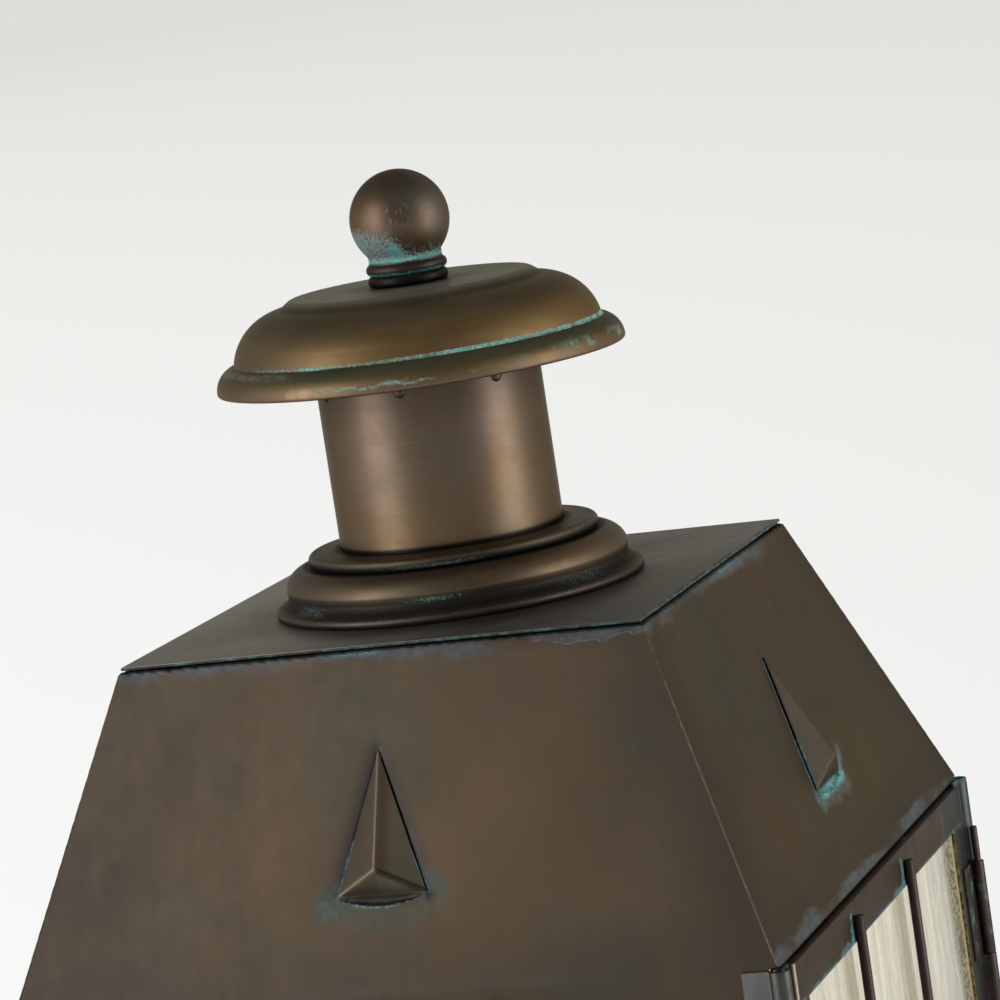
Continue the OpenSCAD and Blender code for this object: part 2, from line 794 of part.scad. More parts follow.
// Turned knob with the shaft that carries the tongue
module latch_knob() {
  start = tongue_x - 1;
  tip = shaft_d - 1;
  translate([0, latch_y, latch_z]) rotate([0, 90, 0]) {
    translate([0, 0, start]) cylinder(d = tip, h = tongue_t + 1.2);
    translate([0, 0, tongue_x + tongue_t]) cylinder(d = shaft_d, h = door_x + 4 - tongue_x - tongue_t);
    translate([0, 0, door_x + gap]) cylinder(d = shaft_d + 3, h = 1.6);
    translate([0, 0, door_x + 4]) cylinder(d1 = shaft_d, d2 = knob_d - 2, h = 3);
    translate([0, 0, door_x + 7]) intersection() {
      sphere(d = knob_d);
      translate([0, 0, -2]) cylinder(d = knob_d, h = 6);
    }
  }
}

// Tongue: hangs when the door is free and turns behind the post's leaf
module latch_tongue() {
  half = tongue_w / 2;
  translate([tongue_x, latch_y, latch_z]) rotate([0, 90, 0]) difference() {
    union() {
      cylinder(d = tongue_w, h = tongue_t);
      translate([0, -half, 0]) cube([tongue_len - half, tongue_w, tongue_t]);
      translate([tongue_len - half, 0, 0]) cylinder(d = tongue_w, h = tongue_t);
    }
    translate([0, 0, -1]) cylinder(d = shaft_d - 1 + 0.1, h = tongue_t + 2);
  }
}

// Tube that drops over the post, closed by a web at the top
module post_fitter() {
  difference() {
    rotate_extrude() {
      difference() {
        union() {
          square([fitter_r, pan_z]);
          translate([fitter_r - 1, foot_bead_r]) circle(r = foot_bead_r);
        }
        translate([0, -1]) square([socket_d / 2, socket_depth + 1]);
        translate([-1, 0]) square([1 + stem_d, 2 * pan_z]);
        translate([-big, -big]) square([2 * big, big]);
      }
    }
    translate([0, 0, screw_z]) around(3, 90) rotate([0, 90, 0]) {
      cylinder(d = screw_d + 2 * hole_gap, h = 2 * fitter_r);
    }
  }
}

// Spun flange with a cove, brazed round the fitter's top and riveted to the pan
module fitter_flange() {
  under = pan_z - fitter_flange_t;
  difference() {
    rotate_extrude() {
      difference() {
        union() {
          translate([0, under]) square([fitter_flange_d / 2, fitter_flange_t]);
          translate([0, under - cove_r]) square([fitter_r + cove_r, cove_r]);
        }
        translate([fitter_r + cove_r + fitter_wall / 2, under - cove_r]) circle(r = cove_r);
        translate([-1, 0]) square([1 + fitter_r + braze, 2 * pan_z]);
      }
    }
    flange_places() translate([0, 0, under - 1]) {
      cylinder(d = rivet_d + 2 * hole_gap, h = fitter_flange_t + 2);
    }
  }
}

// Where the rivets go through the flange and the pan
module flange_places() {
  around(flange_rivets) translate([(fitter_r + cove_r + fitter_flange_d / 2) / 2, 0, 0]) children();
}

module fitter_rivets() {
  head_h = 1.4;
  crown_d = rivet_head_d - 1.6;
  flange_places() {
    translate([0, 0, pan_z - fitter_flange_t - 1]) cylinder(d = rivet_d, h = fitter_flange_t + sheet_t + 2);
    translate([0, 0, pan_z - fitter_flange_t - head_h]) cylinder(d1 = crown_d, d2 = rivet_head_d, h = head_h);
    translate([0, 0, floor_z]) cylinder(d1 = rivet_head_d, d2 = crown_d, h = head_h);
  }
}

// Thumb screws that grip the post; their tips stay inside the wall
module set_screws() {
  head_d = 14;
  translate([0, 0, screw_z]) around(3, 90) rotate([0, 90, 0]) {
    translate([0, 0, socket_d / 2 + gap]) cylinder(d = screw_d, h = fitter_wall + 7);
    translate([0, 0, fitter_r + 5]) cylinder(d1 = screw_d + 3, d2 = head_d, h = 2);
    translate([0, 0, fitter_r + 7]) cylinder(d = head_d, h = 4);
  }
}

// Hollow stem through the pan with a turned base and hub
module cluster_stem() {
  below = sheet_t + web_t;
  translate([0, 0, floor_z]) rotate_extrude() {
    difference() {
      union() {
        translate([0, -below]) square([stem_d / 2, arm_z + below]);
        square([hub_r + 13, 2]);
        translate([0, 2]) square([hub_r + 8, 1.5]);
        square([hub_r - 3, arm_z]);
        translate([0, arm_z]) circle(r = hub_r);
        translate([0, arm_z + hub_r + 3]) circle(r = 4.5);
      }
      translate([-big, -big]) square([big, 2 * big]);
      translate([-1, -below - 1]) square([1 + stem_bore / 2, below + 1 + arm_z]);
    }
  }
}

module stem_nut() {
  translate([0, 0, pan_z - web_t]) difference() {
    cylinder(d = 17, h = web_t, $fn = 6);
    translate([0, 0, -1]) cylinder(d = stem_d + hole_gap, h = web_t + 2);
  }
}

// Three bent arms out of the hub
module cluster_arms() {
  straight = arm_reach - arm_bend;
  start = hub_r + gap;
  translate([0, 0, floor_z + arm_z]) around(3, candle_turn) {
    translate([start, 0, 0]) rotate([0, 90, 0]) cylinder(d = arm_d, h = straight - start);
    translate([straight, 0, arm_bend]) rotate([90, 0, 0]) rotate([0, 0, -90]) {
      rotate_extrude(angle = 90) translate([arm_bend, 0]) circle(d = arm_d);
    }
  }
}

// Dished cups at the ends of the arms
module candle_cups() {
  translate([0, 0, cup_z]) around(3, candle_turn) translate([arm_reach, 0, 0]) difference() {
    union() {
      cylinder(d1 = arm_d + 2, d2 = sleeve_d + 8, h = 4);
      translate([0, 0, 4]) cylinder(d = sleeve_d + 8, h = 2.5);
    }
    translate([0, 0, 4]) cylinder(d = sleeve_d + 2 * gap, h = 4);
  }
}

// Places a shape on candle i, with its zero at the foot of the sleeve
module on_candle(i) {
  rotate([0, 0, candle_turn + i * 120]) translate([arm_reach, 0, sleeve_z]) children();
}

module candle_sleeve() {
  difference() {
    cylinder(d = sleeve_d, h = sleeve_h);
    translate([0, 0, -1]) cylinder(d = sleeve_d - 2 * sleeve_wall, h = sleeve_h + 2);
  }
}

// Lampholder on its stalk inside the sleeve
module lampholder() {
  stalk_d = 8;
  body_len = 30;
  well_depth = 20;
  well_d = 13;
  difference() {
    union() {
      cylinder(d = stalk_d, h = holder_top - body_len + 1);
      translate([0, 0, holder_top - body_len]) cylinder(d = holder_d, h = body_len);
    }
    translate([0, 0, holder_top - well_depth]) cylinder(d = well_d, h = body_len);
  }
}

// Outline of a candle bulb: radius at height t, from 0 at the neck to 1 at the tip
function bulb_radius(t) = 6.2 + (bulb_d / 2 - 6.2) * sin(180 * pow(t, 0.62)) - 6.2 * pow(t, 5);

module bulb() {
  steps = 20;
  base = holder_top - 18;
  neck = holder_top + gap;
  length = sleeve_h + bulb_h - neck;
  rotate_extrude() polygon(concat(
    [[0, base], [6, base], [6, neck]],
    [for (i = [0 : steps - 1]) [bulb_radius(i / steps), neck + length * i / steps]],
    [[0.6, neck + length], [0, neck + length]]
  ));
}

copper = [0.33, 0.27, 0.2];
bronze = [0.42, 0.33, 0.22];
glass = [0.9, 0.87, 0.75, 0.5];
ivory = [0.93, 0.9, 0.8];

color(copper) post_fitter();
color(copper) fitter_flange();
color(bronze) fitter_rivets();
color(bronze) set_screws();
color(copper) base_pan();
color(bronze) door_post();  // corner_post_front_right
color(bronze) mirror([1, 0, 0]) plain_post();  // corner_post_front_left
color(bronze) mirror([0, 1, 0]) door_post();  // corner_post_back_right
color(bronze) rotate([0, 0, 180]) plain_post();  // corner_post_back_left
color(copper) skirted_sheet();  // roof_front
color(copper) rotate([0, 0, 90]) rebated_sheet();  // roof_right
color(copper) rotate([0, 0, 180]) skirted_sheet();  // roof_back
color(copper) rotate([0, 0, 270]) skirted_sheet();  // roof_left
color(copper) top_plate();
color(copper) chimney_collar();
color(bronze) chimney_tube();
color(bronze) cap_stay();
color(bronze) stay_rivets();
color(copper) cap();
color(copper) finial_ring();
color(bronze) finial();
color(bronze) finial_nut();
color(glass) pane();  // glass_front
color(glass) rotate([0, 0, 180]) pane();  // glass_back
color(glass) rotate([0, 0, 270]) pane();  // glass_left
color(bronze) glass_clips();
color(bronze) wall_rods();  // guard_rods_front
color(bronze) rotate([0, 0, 180]) wall_rods();  // guard_rods_back
color(bronze) rotate([0, 0, 270]) wall_rods();  // guard_rods_left
color(copper) door_frame();
color(glass) door_glass();
color(bronze) door_clips();
color(bronze) door_rods();
color(bronze) hinge_leaf_door();
color(bronze) hinge_leaf_post();
color(bronze) hinge_pin();
color(bronze) latch_knob();
color(bronze) latch_tongue();
color(bronze) cluster_stem();
color(bronze) stem_nut();
color(bronze) cluster_arms();
color(bronze) candle_cups();
color(ivory) on_candle(0) candle_sleeve();  // candle_sleeve_1
color(ivory) on_candle(1) candle_sleeve();  // candle_sleeve_2
color(ivory) on_candle(2) candle_sleeve();  // candle_sleeve_3
color(bronze) on_candle(0) lampholder();  // lampholder_1
color(bronze) on_candle(1) lampholder();  // lampholder_2
color(bronze) on_candle(2) lampholder();  // lampholder_3
color(glass) on_candle(0) bulb();  // bulb_1
color(glass) on_candle(1) bulb();  // bulb_2
color(glass) on_candle(2) bulb();  // bulb_3
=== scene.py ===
"""Copper post lantern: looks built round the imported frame."""
import json
from math import atan2, cos, degrees, exp, hypot, pi, radians, sin, sqrt, tan

import bmesh
import bpy
from mathutils import Matrix, Vector
from mathutils.geometry import delaunay_2d_cdt

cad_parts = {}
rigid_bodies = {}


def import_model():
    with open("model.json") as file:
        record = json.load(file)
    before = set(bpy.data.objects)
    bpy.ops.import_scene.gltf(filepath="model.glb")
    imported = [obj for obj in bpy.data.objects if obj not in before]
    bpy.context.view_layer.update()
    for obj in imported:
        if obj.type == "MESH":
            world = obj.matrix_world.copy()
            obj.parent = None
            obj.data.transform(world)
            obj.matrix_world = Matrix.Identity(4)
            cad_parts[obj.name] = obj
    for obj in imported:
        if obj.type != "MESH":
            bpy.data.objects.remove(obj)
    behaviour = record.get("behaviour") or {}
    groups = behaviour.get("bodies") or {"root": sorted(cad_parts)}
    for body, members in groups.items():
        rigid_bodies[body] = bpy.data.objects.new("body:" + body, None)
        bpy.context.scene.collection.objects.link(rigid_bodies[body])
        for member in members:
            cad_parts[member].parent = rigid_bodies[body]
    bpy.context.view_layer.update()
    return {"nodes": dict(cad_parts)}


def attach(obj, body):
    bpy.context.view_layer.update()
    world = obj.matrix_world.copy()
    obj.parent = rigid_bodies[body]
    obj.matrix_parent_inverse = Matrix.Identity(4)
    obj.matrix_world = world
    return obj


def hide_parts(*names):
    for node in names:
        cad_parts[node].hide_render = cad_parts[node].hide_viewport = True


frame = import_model()
MM = 0.001
SIDES = ("front", "right", "back", "left")

# Heights and half widths of the lantern, in millimetres
PLATE_Z = 438.4         # upper face of the top plate
EAVE_Z = 324.0          # fold between roof and skirt
WALL = 139.8            # outside of the skirt
TOP_HALF = 96.6         # edge of the top plate
SHEET = 1.2             # all sheet metal
SEAM = 0.25             # gap left at the hips for the solder
CORNER_IN = 136.3       # end of the skirt at a corner post
REBATE_HALF = 135.3     # end of the rebate over the door
REBATE_FACE = 138.1
SKIRT_FOOT = 306.0
REBATE_FOOT = 309.0
PLATE_SEAM = 0.6        # dark joint under the top plate
FLANGE = 12.0           # folded under the top plate
SLOPE = atan2(WALL - TOP_HALF, PLATE_Z - EAVE_Z)
TUBE_R = 41.1
PAN_TOP = 75.2          # floor of the pan, where the flange is riveted

# The louvre in its sheet: distances down the slope, half width at the foot, heights
TIP = 37.5
PEAK = 79.9
FOOT = 87.5
HALF = 16.3
RISE = 8.0
LIFT = 0.4
BOW = 3.6               # depth of the stretched lip below the foot
TIP_SLIT = 0.34         # half width of the slit at its tip
TIP_CUT = 0.9           # the cut runs on past the tip

# Heights above the top plate, and the ball
CAP_TOP = 114.7
RING_TOP = CAP_TOP + 4
BALL_UP = 138.1
BALL_R = 18.2
CAP_AXIS = (-1.7, -0.6)     # the cap and its finial sit a little off the chimney's axis
VIEW_TURN = -71.154         # compass angle of the camera round the lantern, in degrees from +X


# ---------------------------------------------------------------- node trees
class Wire:
    """A socket that can be written into sums."""

    def __init__(self, graph, socket):
        self.graph = graph
        self.socket = socket

    def __add__(self, other):
        return self.graph.math("ADD", self, other)

    def __sub__(self, other):
        return self.graph.math("SUBTRACT", self, other)

    def __rsub__(self, other):
        return self.graph.math("SUBTRACT", other, self)

    def __mul__(self, other):
        return self.graph.math("MULTIPLY", self, other)

    def __truediv__(self, other):
        return self.graph.math("DIVIDE", self, other)

    def __rtruediv__(self, other):
        return self.graph.math("DIVIDE", other, self)

    def __abs__(self):
        return self.graph.math("ABSOLUTE", self)

    __radd__ = __add__
    __rmul__ = __mul__


class Graph:
    """Short calls that build one node tree. Lengths are in millimetres."""

    def __init__(self, owner):
        owner.use_nodes = True
        self.tree = owner.node_tree
        self.tree.nodes.clear()

    def put(self, socket, value):
        if isinstance(value, Wire):
            value = value.socket
        if value is None:
            return
        if isinstance(value, bpy.types.NodeSocket):
            self.tree.links.new(value, socket)
        elif socket.type == "RGBA" and len(value) == 3:
            socket.default_value = (*value, 1)
        else:
            socket.default_value = value

    def node(self, kind, inputs=None, **settings):
        node = self.tree.nodes.new(kind)
        for key, value in settings.items():
            setattr(node, key, value)
        for key, value in (inputs or {}).items():
            self.put(node.inputs[key], value)
        return node

    def math(self, operation, a, b=None):
        return Wire(self, self.node("ShaderNodeMath", {0: a, 1: b}, operation=operation).outputs[0])

    def vector(self, operation, a, b=None, scale=None):
        more = {"Scale": scale} if scale else {}
        node = self.node("ShaderNodeVectorMath", {0: a, 1: b, **more}, operation=operation)
        return Wire(self, node.outputs["Value" if operation == "DOT_PRODUCT" else "Vector"])

    def split(self, vector):
        parts = self.node("ShaderNodeSeparateXYZ", {0: vector}).outputs
        return [Wire(self, part) for part in parts]

    def turned(self, vector, turn):
        node = self.node("ShaderNodeMapping", {"Vector": vector, "Rotation": (0, 0, turn)})
        return Wire(self, node.outputs[0])

    def step(self, value, low, high, to_low=0.0, to_high=1.0):
        """Smooth step from low to high."""
        node = self.node("ShaderNodeMapRange", {
            "Value": value, "From Min": low, "From Max": high, "To Min": to_low, "To Max": to_high,
        }, interpolation_type="SMOOTHSTEP")
        return Wire(self, node.outputs["Result"])

    def mix(self, factor, a, b):
        node = self.node("ShaderNodeMix", {0: factor, 6: a, 7: b}, data_type="RGBA")
        return Wire(self, node.outputs[2])

    def blend(self, factor, first, second):
        return self.node("ShaderNodeMixShader", {0: factor, 1: first, 2: second}).outputs[0]

    def larger(self, result, *others):
        for other in others:
            result = self.math("MAXIMUM", result, other)
        return result

    def smaller(self, a, b):
        return self.math("MINIMUM", a, b)

    def length(self, x, y):
        return self.math("SQRT", x * x + y * y)

    def near(self, value, centre, half, soft=0.5):
        """Mask of the values within half of a centre."""
        return self.step(abs(value - centre), half, half * soft)

    def spot(self, x, y, at_x, at_y, half_x, half_y):
        """Soft oval mask in the plane of x and y."""
        return self.step(self.length((x - at_x) / half_x, (y - at_y) / half_y), 1.1, 0.3)

    def ring(self, r, up, at_r, at_up, half, soft=0.5):
        """Mask of a ring line in the turned profile."""
        return self.step(self.length(r - at_r, up - at_up), half, half * soft)

    def line(self, x, y, start, end, half, soft=0.4):
        """Mask of a straight line in the plane of x and y."""
        dx = end[0] - start[0]
        dy = end[1] - start[1]
        along = ((x - start[0]) * dx + (y - start[1]) * dy) / (dx * dx + dy * dy)
        along = self.smaller(self.larger(along, 0.0), 1.0)
        away = self.length(x - start[0] - along * dx, y - start[1] - along * dy)
        return self.step(away, half, half * soft)

    def rays_that_see(self):
        """1 for the rays that show the background: from the camera, a reflection or through glass."""
        path = self.node("ShaderNodeLightPath").outputs
        return self.larger(*(path["Is %s Ray" % kind] for kind in ("Camera", "Glossy", "Transmission")))


class Coat(Graph):
    """The node tree of one material."""

    def __init__(self, name):
        self.mat = bpy.data.materials.new(name)
        super().__init__(self.mat)
        self.out = self.tree.nodes.new("ShaderNodeOutputMaterial")
        coords = self.tree.nodes.new("ShaderNodeTexCoord")
        self.place = self.vector("SCALE", coords.outputs["Object"], scale=1000)

    def noise(self, size, seed, stretch=None, detail=3, rough=0.6, distort=0.0, at=None):
        """Cloud noise with features about size across; a stretch below 1 makes them longer."""
        vector = at or self.place
        if stretch:
            vector = self.vector("MULTIPLY", vector, stretch)
        node = self.node("ShaderNodeTexNoise", {
            "Vector": vector, "W": seed, "Scale": 1.0 / size, "Detail": detail, "Roughness": rough,
            "Distortion": distort,
        }, noise_dimensions="4D")
        return Wire(self, node.outputs["Fac"])

    def radius(self, vector):
        x, y, _ = self.split(vector)
        return self.length(x, y)

    def bearing(self, vector):
        """Degrees round the upright axis from the camera's side, counted to the right."""
        x, y, _ = self.split(self.turned(vector, radians(-VIEW_TURN)))
        return self.math("ARCTAN2", y, x) * degrees(1)

    def turned_place(self, on_cap=True):
        """Height above the top plate, radius and bearing, from the cap's own axis or the chimney's."""
        if on_cap:
            own = self.vector("SUBTRACT", self.place, (*CAP_AXIS, PLATE_Z))
            return own, self.split(own)[2], self.radius(own), self.bearing(own)
        up = self.split(self.place)[2] - PLATE_Z
        return self.place, up, self.radius(self.place), self.bearing(self.place)

    def bump(self, height, strength=0.5):
        return self.node("ShaderNodeBump", {
            "Strength": strength, "Distance": MM, "Height": height,
        }).outputs[0]

    def shader(self, colour, rough, **more):
        """A principled shader; the names of more inputs are written with underscores."""
        inputs = {"Base Color": colour, "Roughness": rough}
        inputs.update((key.replace("_", " "), value) for key, value in more.items())
        return self.node("ShaderNodeBsdfPrincipled", inputs).outputs[0]

    def coated(self, shader):
        self.put(self.out.inputs["Surface"], shader)
        return self.mat


# ---------------------------------------------------------------- finishes
VERDIGRIS = ((0.060, 0.270, 0.250), (0.160, 0.480, 0.440))
PALE_GREEN = ((0.120, 0.380, 0.350), (0.300, 0.570, 0.520))
DEEP_GREEN = ((0.020, 0.150, 0.130), (0.060, 0.380, 0.330))
RING_GREEN = ((0.020, 0.150, 0.130), (0.050, 0.300, 0.260))
TEAL = ((0.030, 0.105, 0.098), (0.075, 0.190, 0.175))
BLOOM = ((0.058, 0.070, 0.086), (0.082, 0.112, 0.134))
PALE_BLUE = ((0.075, 0.160, 0.200), (0.135, 0.270, 0.320))
# near-black used for painted shade and painted shadow, not soot
SHADE_NEAR_BLACK = (0.010, 0.010, 0.010)
PANE_TINT = (1.0, 0.965, 0.865)
PANE_FIBRE = (0.93, 0.8492, 0.6574)
PANE_STREAK = (0.97, 0.9071, 0.7266)
SHEET_TONES = ((0.080, 0.060, 0.042), (0.089, 0.064, 0.042), (0.070, 0.058, 0.043))
SPUN_TONES = ((0.118, 0.080, 0.042), (0.134, 0.088, 0.044), (0.102, 0.078, 0.046))
COLLAR_TONES = ((0.128, 0.095, 0.064), (0.142, 0.098, 0.062), (0.110, 0.090, 0.066))
TUBE_TONES = ((0.120, 0.083, 0.054), (0.132, 0.090, 0.057), (0.110, 0.081, 0.058))
BALL_TONES = ((0.114, 0.081, 0.056), (0.134, 0.086, 0.056), (0.086, 0.070, 0.052))
DARK_TONES = ((0.050, 0.042, 0.040), (0.064, 0.049, 0.044), (0.042, 0.038, 0.037))
PLATE_TONES = ((0.245, 0.232, 0.204), (0.270, 0.252, 0.216), (0.215, 0.208, 0.186))
DOOR_TONES = ((0.068, 0.056, 0.046), (0.088, 0.062, 0.048), (0.056, 0.051, 0.045))
POST_TONES = ((0.070, 0.070, 0.070), (0.082, 0.076, 0.070), (0.058, 0.064, 0.070))
PURPLE_TONES = ((0.056, 0.041, 0.039), (0.074, 0.050, 0.046), (0.044, 0.037, 0.036))
SHADE_FILL_TONES = ((0.012, 0.011, 0.011), (0.016, 0.014, 0.013), (0.010, 0.010, 0.010))
BRASS_TONES = ((0.30, 0.21, 0.10), (0.36, 0.25, 0.12), (0.22, 0.16, 0.09))
SOLDER_TONES = ((0.084, 0.074, 0.054), (0.150, 0.130, 0.092), (0.050, 0.044, 0.036))
EVEN = (1, 1, 1)
UPRIGHT = (1, 1, 0.5)


class Finish(Coat):
    """An aged copper alloy: brown oxide in several tones, then growths laid over it one by one."""

    def __init__(self, name, tones, rough=(0.42, 0.54), metallic=0.94, seed=0.0, brush=(1, 1, 0.16),
                 relief=1.0):
        super().__init__(name)
        self.seed = seed
        broad = self.noise(90, seed, detail=2, rough=0.5)
        mottle = self.noise(22, seed + 4.3, detail=4, rough=0.62, distort=0.6)
        fine = self.noise(3.2, seed + 9.1)
        streak = self.noise(5.5, seed + 2.2, brush)
        colour = self.mix(self.step(broad, 0.36, 0.64), tones[0], tones[1])
        colour = self.mix(self.step(mottle, 0.46, 0.72) * 0.75, colour, tones[2])
        colour = self.mix(self.step(streak, 0.5, 0.8) * 0.35, colour, tones[1])
        self.colour = self.mix(self.step(fine, 0.55, 0.85) * 0.3, colour, tones[0])
        self.metal = self.step(mottle, 0.3, 0.7, metallic, metallic * 0.93)
        rub = mottle * 0.5 + streak * 0.3 + fine * 0.2
        self.rough = self.step(rub, 0.35, 0.65, rough[0], rough[1])
        grain = self.noise(0.9, seed + 5.5, brush, 2)
        self.height = (mottle * 0.030 + fine * 0.012 + grain * 0.004) * relief

    def tint(self, mask, colour, cover=1.0):
        self.colour = self.mix(mask * cover, self.colour, colour)

    def polish(self, mask, rough, cover=1.0):
        """Pulls the roughness towards a value."""
        share = mask * cover
        self.rough = self.rough * (1 - share) + share * rough

    def broken(self, mask, grain, keep, seed, sharp=0.1, stretch=EVEN):
        """A mask eaten away by noise: keep is the share that stays where the mask is full."""
        patch = self.noise(grain, self.seed + seed, stretch, 4, 0.62, 0.3)
        level = 0.5 + (0.5 - keep) * 0.45
        low = (1 - mask) * 0.5 + level - sharp
        return self.step(patch, low, low + 2 * sharp) * self.step(mask, 0.0, 0.25)

    def grow(self, mask, colours, cover=1.0, rough=0.85, thick=0.05, speck=1.6):
        """Lays a dull mineral growth over the metal, mottled in specks of a size."""
        share = mask * cover
        speckle = self.noise(speck, self.seed + 3.0, rough=0.65)
        tone = self.mix(self.step(speckle, 0.35, 0.65), colours[0], colours[1])
        self.colour = self.mix(share, self.colour, tone)
        self.metal = self.metal * (1 - share)
        self.rough = self.rough * (1 - share) + share * rough
        self.height = self.height + share * (speckle * 0.7 + 0.3) * thick

    def patch(self, mask, grain, keep, seed, sharp, colours, cover, rough=0.85, thick=0.03, speck=1.6,
              stretch=EVEN):
        """A growth eaten away by noise."""
        self.grow(self.broken(mask, grain, keep, seed, sharp, stretch), colours, cover, rough, thick, speck)

    def finish(self):
        return self.coated(self.shader(
            self.colour, self.rough, Metallic=self.metal, Specular_IOR_Level=0.4,
            Specular_Tint=(0.52, 0.50, 0.46), Normal=self.bump(self.height, 1.0)))


def cap_finish():
    g = Finish("cap_bronze", SPUN_TONES, (0.46, 0.58), seed=1.0, brush=(0.25, 0.25, 1.0))
    own, up, r, side = g.turned_place()
    # painted light on the dome: a golden painted reflection on the lower dome, where the real spun rings
    # are lightened too; painted shade on the shoulder; a grey-olive painted reflection on the flat top
    rings = g.noise(5.0, 6.0, (0.06, 0.06, 1.0), at=own)
    g.tint(g.near(side, 25, 95, 0.2) * g.step(up, 110.0, 100.0), (0.190, 0.118, 0.048), 0.65)
    g.tint(g.step(rings, 0.50, 0.70) * g.step(up, 110.0, 104.0), (0.235, 0.155, 0.070), 0.35)
    g.tint(g.step(side, -20, -80), (0.118, 0.098, 0.068), 0.7)
    # painted shade on the shoulder
    g.tint(g.step(up, 103.0, 110.5), (0.098, 0.080, 0.048), 0.85)
    # painted reflection on the flat top
    flat = g.step(r, 47.6, 43.0) * g.step(up, 111.5, 112.2)
    g.tint(flat, (0.210, 0.194, 0.156), 0.9)
    g.tint(g.ring(r, up, 47.6, 112.6, 2.4, 0.1), (0.070, 0.060, 0.042), 0.7)
    g.tint(g.step(up, 113.2, 114.2) * g.step(r, 26.0, 14.0), (0.080, 0.074, 0.060), 0.7)
    # rim: dark olive under the groove, worn brown below
    rim = g.step(up, 94.0, 93.6)
    g.tint(rim * g.step(up, 89.0, 86.5), (0.150, 0.112, 0.078), 0.6)
    band = rim * g.step(up, 87.6, 91.2) * g.step(side, -65, -25, 0.3, 1.0)
    g.tint(band, (0.078, 0.080, 0.048), 0.85)
    g.polish(band, 0.62, 0.6)
    # verdigris in the groove, brightest on the right
    strong = g.step(side, -44, 25, 0.52, 0.95) * g.step(side, -78, -50) + g.near(side, -36, 10, 0.0) * 0.5
    strong = g.smaller(g.larger(strong, g.step(abs(side), 95, 120) * 0.6), 1.0)
    strong = strong * g.step(g.noise(11, 37.0, UPRIGHT, rough=0.65, at=own), 0.34, 0.58, 0.58, 1.0)
    fringe = g.ring(r, up, 67.6, 93.4, 2.8, 0.1) * strong
    g.patch(fringe, 1.5, 0.60, 1.0, 0.22, TEAL, 0.7, speck=0.8)
    fat = g.step(side, -30, 40, 1.0, 1.7)
    core = g.step(g.ring(r, up, 67.5, 94.3, 1.7, 0.0) * fat, 0.30, 1.0) * strong
    g.patch(core, 1.1, 0.78, 2.0, 0.26, PALE_GREEN, 0.92, 0.9, 0.05, 0.7)
    faint = g.near(up, 92.6, 2.4, 0.1) * g.step(side, -28, -46) * g.step(side, -120, -95)
    g.patch(faint, 3.0, 0.60, 4.0, 0.26, ((0.080, 0.120, 0.095), (0.130, 0.200, 0.165)), 0.4, thick=0.02,
            stretch=(1, 1, 2))
    # smears on the rim
    cloud = g.noise(7.5, 17.0, (1, 1, 1.6), at=own)
    outer = g.near(side, 60, 36, 0.3) * g.step(up, 85.2, 87.0) * g.step(up, 92.6, 88.6)
    outer = outer * g.step(cloud, 0.36, 0.58)
    middle = g.near(side, 24, 26, 0.0) * g.near(up, 87.6, 3.2, 0.0) * g.step(cloud, 0.42, 0.62)
    wander = (g.noise(8, 9.0, (1, 1, 0), at=own) - 0.5) * 5.0
    fray = (g.noise(1.4, 29.0, rough=0.7, at=own) - 0.5) * 2.4
    tide = g.near(up - wander - fray, 86.9, 1.25, 0.0) * g.near(side, -14, 27, 0.4)
    blot = g.near(side, -8, 9, 0.0) * g.near(up, 87.6, 2.2, 0.0)
    for mask, grain, keep, seed, sharp, colours, cover, thick, speck in (
        (outer, 0.9, 0.74, 7.0, 0.24, ((0.085, 0.200, 0.165), (0.180, 0.360, 0.300)), 0.8, 0.03, 0.9),
        (middle, 1.1, 0.66, 8.0, 0.26, ((0.110, 0.175, 0.135), (0.190, 0.295, 0.235)), 0.65, 0.02, 1.6),
        (tide, 1.5, 0.68, 10.0, 0.24, ((0.110, 0.240, 0.220), (0.230, 0.410, 0.380)), 0.8, 0.02, 1.6),
        (blot, 1.6, 0.62, 14.0, 0.24, ((0.120, 0.270, 0.240), (0.250, 0.440, 0.400)), 0.75, 0.02, 1.6),
    ):
        g.patch(mask, grain, keep, seed, sharp, colours, cover, thick=thick, speck=speck)
    bare = g.near(side, -35, 13, 0.0) * g.step(up, 91.0, 86.5)
    g.tint(g.broken(bare, 4.4, 0.70, 12.0, 0.24), (0.300, 0.195, 0.125), 0.7)
    g.tint(g.step(up, 85.7, 84.9), (0.150, 0.095, 0.070), 0.6)
    return g.finish()


